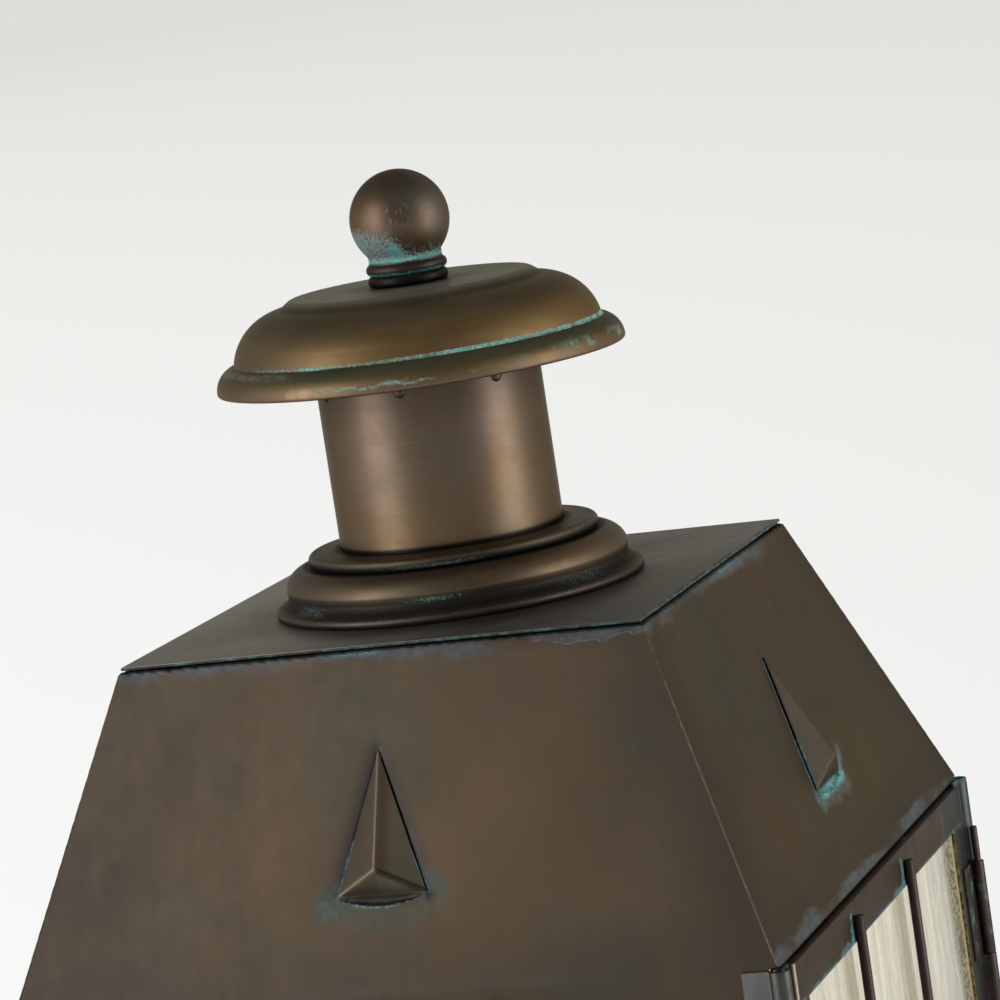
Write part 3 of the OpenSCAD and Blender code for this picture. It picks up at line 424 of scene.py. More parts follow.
def collar_finish():
    g = Finish("collar_bronze", COLLAR_TONES, seed=3.0, brush=(0.25, 0.25, 1.0))
    _, up, r, side = g.turned_place(False)
    round_part = g.ring(r, up, 60.5, 14.5, 6.5, 0.3)
    # painted highlight: warm brown on the round part, right of the front
    g.tint(round_part * g.near(side, 25, 60, 0.3), (0.158, 0.100, 0.056), 0.6)
    g.tint(g.step(side, -30, -75), (0.090, 0.082, 0.070), 0.55)
    g.tint(round_part * g.near(side, -36, 34, 0.2), (0.100, 0.074, 0.048), 0.6)
    shelf = g.step(up, 20.2, 21.2) * g.step(r, 43.5, 45.0)
    g.tint(shelf, (0.112, 0.098, 0.078), 0.8)
    g.tint(shelf * g.near(side, 5, 62, 0.4), (0.125, 0.085, 0.054), 0.85)
    upper = g.ring(r, up, 53.3, 17.6, 3.4, 0.45)
    lower = g.ring(r, up, 64.6, 6.2, 4.4, 0.35)
    contact_shade = g.step(r, 45.0, 42.4) * g.step(up, 18.0, 20.0)
    # painted shade: near-black in both grooves and where the tube stands on the collar
    dark = g.larger(upper, lower, contact_shade)
    g.tint(dark, (0.016, 0.016, 0.015), 0.92)
    g.polish(dark, 0.6, 0.7)
    # pale specks caught in the grooves, teal ones ahead in the lower one
    lip = g.ring(r, up, 53.6, 18.6, 1.9, 0.2) * g.near(side, -8, 52, 0.1)
    g.patch(lip, 0.7, 0.52, 2.0, 0.14, ((0.075, 0.095, 0.085), (0.170, 0.205, 0.185)), 0.75, 0.9, 0.02, 0.6,
            (1, 1, 1.5))
    teal = g.ring(r, up, 63.8, 8.0, 2.6, 0.2) * g.near(side, -9, 24, 0.0)
    left, right = lower * g.near(side, -58, 30, 0.0), lower * g.near(side, 45, 45, 0.0)
    for mask, grain, keep, seed, sharp, colours, cover, thick in (
        (teal, 0.9, 0.68, 5.0, 0.20, ((0.050, 0.150, 0.138), (0.150, 0.315, 0.285)), 0.9, 0.03),
        (left, 0.9, 0.46, 6.0, 0.16, ((0.050, 0.070, 0.080), (0.105, 0.140, 0.155)), 0.7, 0.02),
        (right, 0.7, 0.38, 7.0, 0.14, ((0.050, 0.090, 0.075), (0.120, 0.195, 0.170)), 0.7, 0.02),
    ):
        g.patch(mask, grain, keep, seed, sharp, colours, cover, 0.9, thick, 0.7)
    g.tint(g.step(up, 4.4, 3.0), (0.064, 0.053, 0.050), 0.75)
    # painted highlights: broken pale lines on the foot bead and on the shelf's outer edge
    edge_glint_breakup = g.noise(3.0, 12.0)
    g.tint(g.ring(r, up, 67.6, 3.0, 0.6, 0.3) * g.step(edge_glint_breakup, 0.46, 0.66), (0.190, 0.155, 0.130), 0.55)
    g.tint(g.ring(r, up, 53.0, 20.9, 0.7, 0.3) * g.step(edge_glint_breakup, 0.48, 0.68), (0.190, 0.180, 0.150), 0.4)
    return g.finish()


def tube_finish():
    g = Finish("tube_bronze", TUBE_TONES, (0.36, 0.45), 0.97, seed=5.0, brush=(0.06, 0.06, 1.0), relief=0.6)
    up = g.split(g.place)[2] - PLATE_Z
    marks = g.noise(0.7, 8.0, (0.10, 0.10, 1.0), rough=0.7)
    g.tint(g.step(marks, 0.54, 0.80), (0.225, 0.180, 0.140), 0.5)
    g.tint(g.step(marks, 0.42, 0.25), (0.085, 0.064, 0.048), 0.4)
    g.height = g.height + marks * 0.016
    g.tint(g.step(g.noise(16, 18.0), 0.46, 0.64), (0.118, 0.096, 0.082), 0.55)
    fleck = g.noise(1.5, 28.0, (0.5, 0.5, 1.4), rough=0.7)
    g.tint(g.step(fleck, 0.66, 0.72), (0.240, 0.215, 0.160), 0.4)
    g.tint(g.step(up, 62.0, 28.0), (0.150, 0.102, 0.056), 0.5)
    side = g.bearing(g.place)
    g.tint(g.near(side, -42, 30, 0.1) * g.step(up, 30, 50), (0.150, 0.110, 0.084), 0.5)
    # painted shade: darker towards the tube's flanks
    g.tint(g.step(abs(side - 8), 50, 88), (0.088, 0.066, 0.048), 0.5)
    # painted shadow: darker under the cap
    g.tint(g.step(up, 62.0, 84.0), (0.070, 0.052, 0.040), 0.75)
    # painted shade: near-black where the tube stands in the collar
    g.tint(g.step(up, 24.4, 22.8), SHADE_NEAR_BLACK, 0.95)
    return g.finish()


def ball_finish():
    g = Finish("finial_bronze", BALL_TONES, (0.44, 0.56), seed=7.0, relief=1.2)
    own, up, _, side = g.turned_place()
    g.tint(g.step(up, BALL_UP + 1, BALL_UP + 17), (0.070, 0.054, 0.036), 0.8)
    g.tint(g.step(up, 127.5, 122.5), (0.044, 0.046, 0.040), 0.7)
    # faint bluish scuffs near the middle
    scuff = g.noise(1.3, 31.0, UPRIGHT, rough=0.7, at=own)
    near = g.near(side, -4, 30, 0.1) * g.near(up, BALL_UP + 1.5, 8.0, 0.1)
    g.grow(g.step(scuff, 0.50, 0.64) * near, ((0.11, 0.135, 0.155), (0.19, 0.235, 0.255)), 0.65, 0.7, 0.01)
    g.tint(g.spot(side, up, 12.0, BALL_UP + 8.0, 26.0, 6.0), (0.105, 0.108, 0.082), 0.6)
    # painted shade: the middle of the ball darkened on the camera's side
    g.tint(g.near(side, 6, 26, 0.0) * g.near(up, BALL_UP - 1, 9, 0.2), (0.084, 0.062, 0.046), 0.6)
    # painted highlight: a greyer tint where the right highlight falls
    g.tint(g.near(side, 52, 30, 0.2), (0.112, 0.096, 0.080), 0.6)
    # powdery bloom on the lower part, higher on the left
    level = BALL_UP - 9.0 + g.step(side, 18.0, -34.0) * 9.5
    below = g.step(level - up + (g.noise(9, 21.0, at=own) - 0.5) * 6.0, -2.0, 7.0)
    speck = g.noise(0.55, 3.0, detail=2, rough=0.7, at=own)
    cover = g.step(speck, 0.66 - below * 0.27, 0.74 - below * 0.27) * g.step(up, 123.2, 124.2)
    powder = ((0.125, 0.205, 0.205), (0.270, 0.400, 0.395))
    g.grow(cover * g.step(below, 0.0, 0.2), powder, 0.85, 0.9, 0.03, 0.6)
    # bright tongue that runs down to the neck
    drift = (g.noise(4, 51.0, at=own) - 0.5) * 16.0
    tongue = g.near(side + drift, -13, 18, 0.3) * g.step(up, 135.0, 127.5) * g.step(up, 122.6, 123.6)
    g.patch(tongue, 1.3, 0.62, 11.0, 0.16, VERDIGRIS, 0.95, 0.9, 0.05, 0.8)
    # ring of verdigris where the ball meets its neck
    ring = g.broken(g.near(up, 124.3, 1.5, 0.1), 1.2, 0.74, 13.0, 0.18, (1, 1, 2))
    g.grow(ring, VERDIGRIS, g.step(side, 80, 5, 0.6, 0.97), 0.9, 0.05, 0.8)
    pale = g.near(side, -12, 45, 0.1)
    g.grow(ring * pale * g.near(up, 124.4, 1.2, 0.2), PALE_GREEN, 0.7, 0.9, 0.02, 0.8)
    bead = g.step(up, 123.2, 122.5) * g.step(up, 118.9, 119.5)
    g.tint(bead, (0.052, 0.037, 0.034), 0.88)
    glint = g.noise(1.1, 41.0, rough=0.7, at=own)
    g.tint(bead * g.step(glint, 0.64, 0.72), (0.28, 0.26, 0.25), 0.5)
    g.patch(g.step(up, 120.6, 119.6), 1.2, 0.70, 15.0, 0.16, DEEP_GREEN, 0.9, 0.9, 0.04, 0.8)
    return g.finish()


def ring_finish():
    g = Finish("ring_bronze", DARK_TONES, (0.42, 0.52), seed=9.0)
    up = g.split(g.place)[2] - PLATE_Z
    g.tint(g.step(up, 118.7, 117.9), (0.016, 0.015, 0.014), 0.88)
    g.patch(g.step(up, 118.5, 119.0), 1.4, 0.5, 2.0, 0.12, RING_GREEN, 0.85, 0.9, 0.03, 0.8)
    return g.finish()


def plate_finish():
    g = Finish("plate_copper", PLATE_TONES, (0.42, 0.52), seed=11.0, brush=(1, 0.5, 1))
    x, y, z = g.split(g.place)
    _, _, r, side = g.turned_place(False)
    fibre = g.noise(1.2, 4.0, (0.08, 1.0, 1.0), rough=0.65)
    g.tint(g.step(fibre, 0.56, 0.78), (0.190, 0.176, 0.150), 0.4)
    # painted shade: the plate darker towards +X
    g.tint(g.step(x, -30, 60), (0.150, 0.144, 0.128), 0.85)
    # painted shade and a warm painted reflection of the collar, round its foot on the front side
    ahead = g.larger(g.near(side, 10, 110, 0.2), 0.2)
    g.tint(g.step(r, 92.0, 68.0) * ahead, (0.064, 0.053, 0.042), 0.78)
    out = g.larger(abs(x), abs(y))
    worn = g.noise(9, 14.0)
    rubbed = g.step(out, TOP_HALF - 0.8, TOP_HALF - 0.3) * g.step(worn, 0.50, 0.66)
    g.tint(rubbed, (0.150, 0.135, 0.115), 0.35)
    # painted shade: the plate's side and a strip along its +X edge dulled near-black
    edge = g.step(z, PLATE_Z - worn * 0.22, PLATE_Z - 0.32)
    right = g.step(x, TOP_HALF - 1.6, TOP_HALF - 0.5) * g.step(worn, 0.42, 0.52)
    g.grow(g.larger(edge, right), ((0.012, 0.012, 0.011), (0.034, 0.031, 0.027)), 0.92, 0.8, 0.01)
    g.patch(edge * g.step(out, TOP_HALF - 1, TOP_HALF), 2.4, 0.46, 3.0, 0.10, TEAL, 0.8, 0.9,
            stretch=(0.5, 1, 1))
    return g.finish()


def roof_finish(side):
    """Sheet of one roof side: side counts quarter turns from the front."""
    g = Finish("roof_copper_%d" % side, SHEET_TONES, (0.44, 0.54), seed=13.0 + 5.0 * side)
    flat = g.turned(g.place, radians(-90 * side))
    x, y, z = g.split(flat)
    down = (PLATE_Z - z) * cos(SLOPE) - (y + TOP_HALF) * sin(SLOPE)
    front, right = side == 0, side == 1
    # warm and cool fields, darker towards the eave and the hips
    g.tint(g.step(g.noise(55, 40.0 + side, UPRIGHT, rough=0.55), 0.46, 0.66), (0.108, 0.070, 0.041), 0.55)
    g.tint(g.step(g.noise(40, 50.0 + side, rough=0.55), 0.48, 0.68), (0.062, 0.060, 0.044), 0.5)
    stripe = g.noise(2.5, 55.0 + side, (1, 1, 0.03), at=flat)
    g.tint(g.step(stripe, 0.52, 0.72), (0.094, 0.074, 0.055), 0.1 if right else 0.3)
    fields = {
        0: (((40.0, 74.0, 50.0, 66.0), (0.112, 0.073, 0.042), 0.42),
            ((-2.0, 42.0, 36.0, 50.0), (0.072, 0.067, 0.048), 0.4)),
        1: (((40.0, 92.0, 46.0, 26.0), (0.104, 0.074, 0.040), 0.5),
            ((-44.0, 40.0, 40.0, 60.0), (0.068, 0.066, 0.050), 0.5)),
    }
    for oval, colour, cover in fields.get(side, ()):
        g.tint(g.spot(x, down, *oval), colour, cover)
    far_left = g.step(x, -20, -110) * g.step(down, 10.0, 80.0, 0.5, 1.0)
    g.tint(far_left, (0.050, 0.042, 0.034), 0.7 if front else 0.2)
    g.tint(g.step(down, 92.0, 121.0), (0.052, 0.043, 0.036), 0.4)
    g.tint(g.step(0 - y - abs(x), 26.0, 2.0), (0.050, 0.041, 0.034), 0.4)
    # bloom along the top edge, dull with a pale tide line, bright blue in places
    along = g.vector("MULTIPLY", flat, (0.32 if right else 0.6, 1, 1))
    wave = g.noise(12, 60.0 + side, at=along)
    under = down - 1.9
    reach = g.step(wave, 0.30, 0.70, 0.4, 6.0)
    top = g.step(reach - under, -2.2, 2.6) * g.step(wave, 0.28, 0.46)
    if right:
        top = top * g.step(x, 76.0, 34.0, 0.12, 1.0)
    g.grow(top, BLOOM, 0.60, 0.6, 0.0, 3.0)
    if front:
        tide = g.near(under, reach, 0.8, 0.0) * g.step(x, 46, 62)
        g.patch(tide, 1.6, 0.66, 2.0, 0.2, ((0.09, 0.14, 0.16), (0.14, 0.22, 0.25)), 0.6, 0.6, 0.0)
    bright = g.near(x, -10 if front else 12, 34, 0.1)
    bright = g.larger(bright, 0.3 if front else 0.1) * g.step(under, 4.0, 0.8)
    g.patch(bright, 2.0, 0.60, 4.0, 0.22, PALE_BLUE, 0.75, 0.75, 0.01, 0.8, (1, 1, 2))
    # painted shadow: a ragged near-black band just under the top plate's edge
    uneven = (g.noise(1.6, 66.0, rough=0.7, at=along) - 0.5) * 1.6
    g.tint(g.step(under + uneven, 0.9, 0.2), SHADE_NEAR_BLACK, 0.85)
    louvre_finish(g, side, flat, x, down)
    # bloom just above the eave
    eave = 122.3 - down
    tuft = g.noise(13, 80.0 + side, (0.22 if right else 0.6, 1, 1), rough=0.62, at=flat)
    puff = g.step(g.step(tuft, 0.38, 0.62, 0.6, 7.0) - eave, -2.4, 2.6) * g.step(eave, -1.0, 0.5)
    puff = puff * g.step(g.noise(34, 84.0 + side, detail=2, rough=0.5, at=flat), 0.38, 0.56, 0.15, 1.0)
    share = (0.12, 0.62, 0.35, 0.35)[side]
    g.grow(puff, ((0.042, 0.062, 0.074), (0.078, 0.112, 0.124)), share, 0.7, 0.01, 3.0)
    return g.finish()


def louvre_finish(g, side, flat, x, down):
    """Painted shade in and beside the slits, painted highlights and shade on the ridges and facets, and the
    growths round one louvre.
    """
    right = side == 1
    tip, peak, left_foot, right_foot = (0.0, TIP), (0.0, PEAK), (-HALF, FOOT), (HALF, FOOT)
    ax = abs(x)
    inside = g.step(HALF * (down - TIP) / (FOOT - TIP) - ax, -0.1, 0.3) * g.step(down, FOOT, FOOT - 0.6)
    shade = g.line(ax, down, tip, right_foot, 7.0, 0.1)
    if right:
        g.tint(inside, (0.058, 0.048, 0.036), 0.7)
        shade = shade * (1 - inside) * g.step(x, 2.0, -2.0)
    g.tint(shade, (0.042, 0.037, 0.042), 0.6)
    # painted shade: a near-black line along each slit
    g.tint(g.line(ax, down, tip, right_foot, 0.9 if right else 1.5, 0.2), (0.022, 0.020, 0.024), 0.7)
    if not right:
        # painted light: the left and right facets get separate tones, the right one much lighter
        g.tint(inside * g.step(x, 0.4, -0.4), (0.096, 0.073, 0.052), 0.7)
        g.tint(inside * g.step(x, -0.2, 0.6), (0.190, 0.162, 0.112), 0.85)
        g.tint(inside * g.near(x, 2.0, 3.6, 0.1), (0.120, 0.074, 0.048), 0.7)
    # painted highlights along the ridge and the left crease
    ridge_highlight = g.larger(g.line(x, down, tip, peak, 1.1, 0.0), g.line(x, down, peak, left_foot, 1.5, 0.0))
    g.tint(ridge_highlight, (0.190, 0.150, 0.104), 0.12 if right else 0.65)
    at_peak = HALF * (PEAK - TIP) / (FOOT - TIP)
    past = down - PEAK
    widens = past * ((HALF - at_peak) / (FOOT - PEAK)) + at_peak * past / (FOOT - PEAK)
    facet = g.step(down, FOOT + 0.2, FOOT - 0.5) * g.step(widens - ax, -0.4, 0.8)
    # painted light and shade on the bottom facet: darker at the foot, lighter olive under the ridge
    g.tint(facet * g.step(down, FOOT - 6.0, FOOT), (0.036, 0.034, 0.026), 0.85)
    g.tint(facet * g.step(down, FOOT - 1.0, FOOT - 7.5), (0.082, 0.078, 0.054), 0.7)
    # painted shade over the right crease, which the rounded geometry lights
    g.tint(g.line(x, down, (1.5, PEAK + 0.6), right_foot, 1.7, 0.2), (0.026, 0.023, 0.017), 0.85)
    slits = g.larger(g.line(x, down, (-HALF * 0.62, FOOT - 19.0), (-HALF - 0.3, FOOT), 1.0, 0.4),
                     g.line(x, down, (HALF * 0.72, FOOT - 14.0), (HALF + 0.5, FOOT), 0.9, 0.4))
    g.patch(slits, 2.0, 0.66, 5.0, 0.14, ((0.045, 0.115, 0.140), (0.085, 0.215, 0.240)), 0.8)
    bow = FOOT + 0.6 + 3.2 * (1 - x * x / (HALF * HALF))
    crescent = g.step(down, FOOT - 0.2, FOOT + 0.4) * g.step(bow - down, -0.2, 0.8)
    crescent = crescent * g.step(ax, HALF + 1, HALF - 1)
    g.tint(crescent, (0.030, 0.027, 0.028), 0.85)
    crumbs = g.noise(0.9, 90.0, rough=0.7, at=flat)
    g.tint(crescent * g.step(crumbs, 0.58, 0.70), (0.110, 0.100, 0.095), 0.7)
    if right:
        # the foot of this louvre has a bright patch
        lengthwise = (1, 0.4, 1)
        outside = g.step(inside, 0.6, 0.0)
        halo = g.larger(g.line(x, down, (-17.0, 91.0), (18.0, 91.0), 9.0, 0.0),
                        g.line(x, down, (14.0, 90.0), (27.0, 82.0), 5.0, 0.0))
        g.patch(halo * outside, 5.0, 0.80, 6.0, 0.3, ((0.060, 0.110, 0.125), (0.105, 0.190, 0.205)), 0.6,
                0.75, 0.01, 2.0, lengthwise)
        heart = g.larger(g.line(x, down, (-13.0, 90.4), (19.0, 89.6), 5.0, 0.0),
                         g.line(x, down, (19.0, 89.0), (23.0, 85.0), 2.0, 0.0) * 0.7)
        g.patch(heart * outside, 2.0, 0.72, 7.0, 0.2, VERDIGRIS, 0.85, thick=0.04, stretch=lengthwise)
        edge = g.line(x, down, (-1.8, TIP + 2), (-HALF - 2.6, FOOT + 3), 2.6, 0.0)
        g.patch(edge, 7.0, 0.74, 8.0, 0.24, ((0.085, 0.105, 0.108), (0.140, 0.175, 0.178)), 0.6, 0.7, 0.01)
    else:
        lobes = g.larger(g.spot(x, down, -18.0, FOOT + 2.0, 9.5, 10.0),
                         g.spot(x, down, 18.0, FOOT + 1.0, 9.0, 10.0),
                         g.spot(x, down, 0.0, FOOT + 8.0, 22.0, 6.5) * 0.6)
        cloud = g.noise(7.0, 70.0 + side, at=flat)
        soft = lobes * g.step(cloud, 0.22, 0.6) * g.step(inside, 0.5, 0.0)
        g.grow(soft, ((0.052, 0.082, 0.078), (0.074, 0.118, 0.112)), 0.68, 0.75, 0.0, 3.0)
        lip = g.near(down, bow + 0.5, 1.0, 0.2) * g.near(x, -2.0, 15.0, 0.4)
        g.patch(lip, 2.0, 0.58, 8.0, 0.16, ((0.050, 0.150, 0.185), (0.115, 0.310, 0.340)), 0.9, thick=0.04)


def frame_finish(name, tones, seed, rods=()):
    """Folded corner posts and the door's frame, which has rods."""
    g = Finish(name, tones, seed=seed)
    x, y, z = g.split(g.place)
    low = g.noise(9, seed + 50, UPRIGHT, 4, 0.62)
    g.grow(g.step(low, 0.56, 0.74), BLOOM, 0.5, 0.7, 0.01, 3.0)
    g.grow(g.step(low, 0.66, 0.78), TEAL, 0.5, 0.85, 0.03)
    if rods:
        g.patch(g.near(z, 307.9, 2.4, 0.1), 2.6, 0.50, 9.0, 0.16,
                ((0.045, 0.140, 0.150), (0.095, 0.240, 0.245)), 0.7, thick=0.02, stretch=(1, 0.4, 1))
        # the stile on the hinge side is blue-grey, the other one has a painted highlight along its outer
        # edge
        g.tint(g.step(y, 84.0, 122.0), (0.058, 0.066, 0.068), 0.85)
        # painted shade: olive, dark-speckled strip, the lantern's dark inside seen through the pane, laid
        # on the reveal beside the pane on the hinge side
        reveal = g.step(y, 114.0, 114.6) * g.step(y, 116.6, 116.1) * g.step(z, 309.2, 308.2)
        spots = g.noise(1.3, 27.0, (1, 1, 0.6), rough=0.7)
        g.tint(reveal, (0.300, 0.250, 0.110), 0.9)
        g.tint(reveal * g.step(spots, 0.46, 0.56), (0.040, 0.034, 0.018), 0.9)
        # painted highlight: a bright line down the outer edge of the latch-side stile
        g.tint(g.step(y, -126.0, -128.2) * g.step(x, 141.0, 141.8), (0.62, 0.52, 0.38), 0.8)
    else:
        lines = g.noise(2.4, 23.0, (1, 1, 0.05))
        g.tint(g.step(lines, 0.52, 0.68), (0.116, 0.118, 0.116), 0.45)
        back_right = g.step(y, 128.0, 130.0) * g.step(x, 100, 110)
        g.grow(g.step(z, 321.4, 322.6) * back_right, VERDIGRIS, 0.75, 0.85, 0.02)
        g.tint(g.step(z, 290.0, 300.0) * back_right, (0.066, 0.078, 0.084), 0.8)
    for rod in rods:
        beside = g.line(y, z, (rod - 4.4, 305.0), (rod - 3.8, 316.5), 5.6, 0.0)
        g.patch(beside, 2.4, 0.66, rod, 0.2, ((0.050, 0.170, 0.165), (0.110, 0.300, 0.285)), 0.85)
        below = g.line(y, z, (rod - 20.0, 308.4), (rod - 2.0, 309.0), 4.2, 0.0)
        g.patch(below, 2.8, 0.68, rod + 2, 0.2, ((0.045, 0.140, 0.160), (0.095, 0.240, 0.260)), 0.8)
    return g.finish()


def plain_finish(name, tones, seed, rough=(0.42, 0.54), growth=0.3, metallic=0.94):
    """Small parts: brown metal with a few patches of bloom and verdigris."""
    g = Finish(name, tones, rough, metallic, seed=seed)
    patch = g.noise(8, seed + 60, detail=4, rough=0.62)
    g.grow(g.step(patch, 0.58, 0.76), BLOOM, growth, 0.7, 0.01, 2.5)
    g.grow(g.step(patch, 0.68, 0.78), TEAL, growth * 0.8, 0.85, 0.03)
    return g.finish()


def hinge_finish():
    """Hinge knuckles and leaves, with a green patch at the lower knuckle."""
    g = Finish("hinge_bronze", DARK_TONES, (0.40, 0.52), seed=75.0)
    z = g.split(g.place)[2]
    patch = g.noise(5, 12.0, detail=4, rough=0.62)
    green = g.step(patch, 0.52, 0.70) * g.near(z, 272, 26, 0.5)
    g.grow(green, ((0.06, 0.16, 0.14), (0.12, 0.27, 0.24)), 0.75, 0.85, 0.03)
    g.grow(g.step(patch, 0.40, 0.28), BLOOM, 0.5, 0.7, 0.01, 2.5)
    return g.finish()


def glass_finish(name, seed, shade_strip=False):
    """Seedy drawn glass: fine vertical fibres and small bubbles."""
    g = Coat(name)
    fibre = g.noise(2.6, seed, (1, 1, 0.16), 4, 0.72)
    streak = g.noise(7.0, seed + 2, (1, 1, 0.07))
    seeds = g.noise(1.5, seed + 4, UPRIGHT, rough=0.65)
    wave = g.noise(26, seed + 7, detail=2, rough=0.5)
    normal = g.bump(fibre * 0.08 + streak * 0.08 + g.step(seeds, 0.64, 0.74) * 0.05 + wave * 0.4)
    colour = g.mix(g.step(fibre, 0.44, 0.66), PANE_TINT, PANE_FIBRE)
    colour = g.mix(g.step(streak, 0.50, 0.68) * 0.4, colour, PANE_STREAK)
    colour = g.mix(g.step(seeds, 0.60, 0.70) * 0.55, colour, (0.74, 0.66, 0.46))
    rough = g.step(streak, 0.35, 0.65, 0.12, 0.22)
    surface = g.shader(colour, rough, IOR=1.46, Transmission_Weight=1.0, Normal=normal)
    if shade_strip:
        # painted shade: the lantern's dark inside seen through the pane, an olive film with dark specks
        # beside the stile on the hinge side, thinner down the pane
        _, y, z = g.split(g.place)
        fades = g.step(z, 150.0, 270.0)
        ragged = y + (fibre - 0.5) * 12.0 - (1 - fades) * 9.0
        dots = g.noise(1.2, seed + 9, (1, 0.6, 1), rough=0.7)
        near = g.step(ragged, 98.0, 107.0)
        dark = g.step(dots, 0.60 - near * 0.16, 0.66 - near * 0.12)
        olive = g.mix(dark * g.step(y, 113.4, 112.0), (0.36, 0.31, 0.16), (0.060, 0.052, 0.026))
        shade_film = g.shader(olive, 0.55, Specular_IOR_Level=0.3, Normal=normal)
        cover = g.larger(g.step(ragged, 99.0, 107.0) * 0.9, g.step(ragged, 90.0, 102.0) * dark * 0.7)
        surface = g.blend(cover * (fades * 0.75 + 0.25), surface, shade_film)
    return g.coated(surface)


def bulb_finish():
    g = Coat("bulb_clear_glass")
    rough = g.step(g.noise(12, 3.0, detail=2, rough=0.5), 0.35, 0.65, 0.02, 0.06)
    return g.coated(g.shader((0.97, 0.96, 0.93), rough, IOR=1.46, Transmission_Weight=1.0))


def sleeve_finish():
    g = Coat("candle_sleeve_ivory")
    cloud = g.noise(14, 2.0, rough=0.55)
    speck = g.noise(1.6, 5.0, (1, 1, 0.3))
    colour = g.mix(g.step(cloud, 0.35, 0.65), (0.80, 0.74, 0.60), (0.86, 0.81, 0.68))
    colour = g.mix(g.step(speck, 0.58, 0.8) * 0.4, colour, (0.68, 0.60, 0.44))
    rough = g.step(cloud, 0.3, 0.7, 0.42, 0.55)
    return g.coated(g.shader(colour, rough, Normal=g.bump(speck * 0.06 + cloud * 0.1)))


def holder_finish():
    g = Coat("lampholder_phenolic")
    cloud = g.noise(6, 2.0, rough=0.55)
    colour = g.mix(g.step(cloud, 0.35, 0.65), (0.030, 0.016, 0.010), (0.055, 0.028, 0.016))
    rough = g.step(cloud, 0.3, 0.7, 0.30, 0.42)
    return g.coated(g.shader(colour, rough, Normal=g.bump(cloud * 0.05, 0.4)))


# ---------------------------------------------------------------- shapes
def edited(mesh, change, into=None):
    """Runs a change on the editable copy of a mesh and writes it back, or into another mesh."""
    work = bmesh.new()
    work.from_mesh(mesh)
    change(work)
    work.to_mesh(into or mesh)
    work.free()


def added(name, mesh):
    """A new object at the origin."""
    piece = bpy.data.objects.new(name, mesh)
    bpy.context.scene.collection.objects.link(piece)
    return piece


def new_piece(name, points, faces, material, smooth_angle=40.0):
    """A mesh object at the origin from points in millimetres."""
    mesh = bpy.data.meshes.new(name)
    mesh.from_pydata([(p[0] * MM, p[1] * MM, p[2] * MM) for p in points], [], faces)
    mesh.materials.append(material)
    shade(mesh, smooth_angle)
    return added(name, mesh)


def shade(mesh, smooth_angle):
    """Smooth shading with edges sharper than the angle kept crisp."""
    def smooth(work):
        for face in work.faces:
            face.smooth = True
        for edge in work.edges:
            edge.smooth = not (edge.is_manifold and edge.calc_face_angle(0.0) > radians(smooth_angle))

    edited(mesh, smooth)
    mesh.update()


def face_outwards(piece):
    edited(piece.data, lambda work: bmesh.ops.recalc_face_normals(work, faces=work.faces))
    return piece


def settle(piece, smooth_angle=40.0):
    """Turns a piece's modifiers into plain mesh."""
    graph = bpy.context.evaluated_depsgraph_get()
    mesh = bpy.data.meshes.new_from_object(piece.evaluated_get(graph))
    piece.modifiers.clear()
    old = piece.data
    piece.data = mesh
    bpy.data.meshes.remove(old)
    shade(mesh, smooth_angle)
    return piece


def arc(centre_r, centre_z, radius, start, end, count=24):
    """Points of an arc in the turned profile, angles in degrees from outwards."""
    result = []
    for i in range(count + 1):
        turn = radians(start + (end - start) * i / count)
        result.append((centre_r + radius * cos(turn), centre_z + radius * sin(turn)))
    return result


def even(points, spacing, closed):
    """The same line with points at an even spacing."""
    line = list(points) + ([points[0]] if closed else [])
    result = [line[0]]
    left = spacing
    for a, b in zip(line, line[1:]):
        length = hypot(b[0] - a[0], b[1] - a[1])
        at = left
        while at < length:
            result.append((a[0] + (b[0] - a[0]) * at / length, a[1] + (b[1] - a[1]) * at / length))
            at += spacing
        left = at - length
    if not closed:
        result.append(line[-1])
    return result


def softened(points, spacing, reach, closed=False):
    """Rounds a profile's corners: reach is about the fillet that they get."""
    line = even(points, spacing, closed)
    count = len(line)
    span = max(1, int(2 * reach / spacing))
    weights = [exp(-0.5 * (k * spacing / reach) ** 2) for k in range(-span, span + 1)]
    result = []
    for i in range(count):
        total, r, z = 0.0, 0.0, 0.0
        room = span if closed else min(span, i, count - 1 - i)
        for k in range(-room, room + 1):
            weight = weights[k + span]
            point = line[(i + k) % count]
            total += weight
            r += weight * point[0]
            z += weight * point[1]
        result.append((r / total, z / total))
    return result


def walled(outer, thickness):
    """A closed profile: the outer line, drawn from the axis outwards, and its copy moved inwards."""
    inner = []
    last = len(outer) - 1
    for i, point in enumerate(outer):
        a, b = outer[max(0, i - 1)], outer[min(last, i + 1)]
        length = hypot(b[0] - a[0], b[1] - a[1]) or 1.0
        normal = (-(b[1] - a[1]) / length, (b[0] - a[0]) / length)
        inner.append((point[0] - normal[0] * thickness, point[1] - normal[1] * thickness))
    return list(outer) + softened(inner, 0.6, 1.0)[::-1]


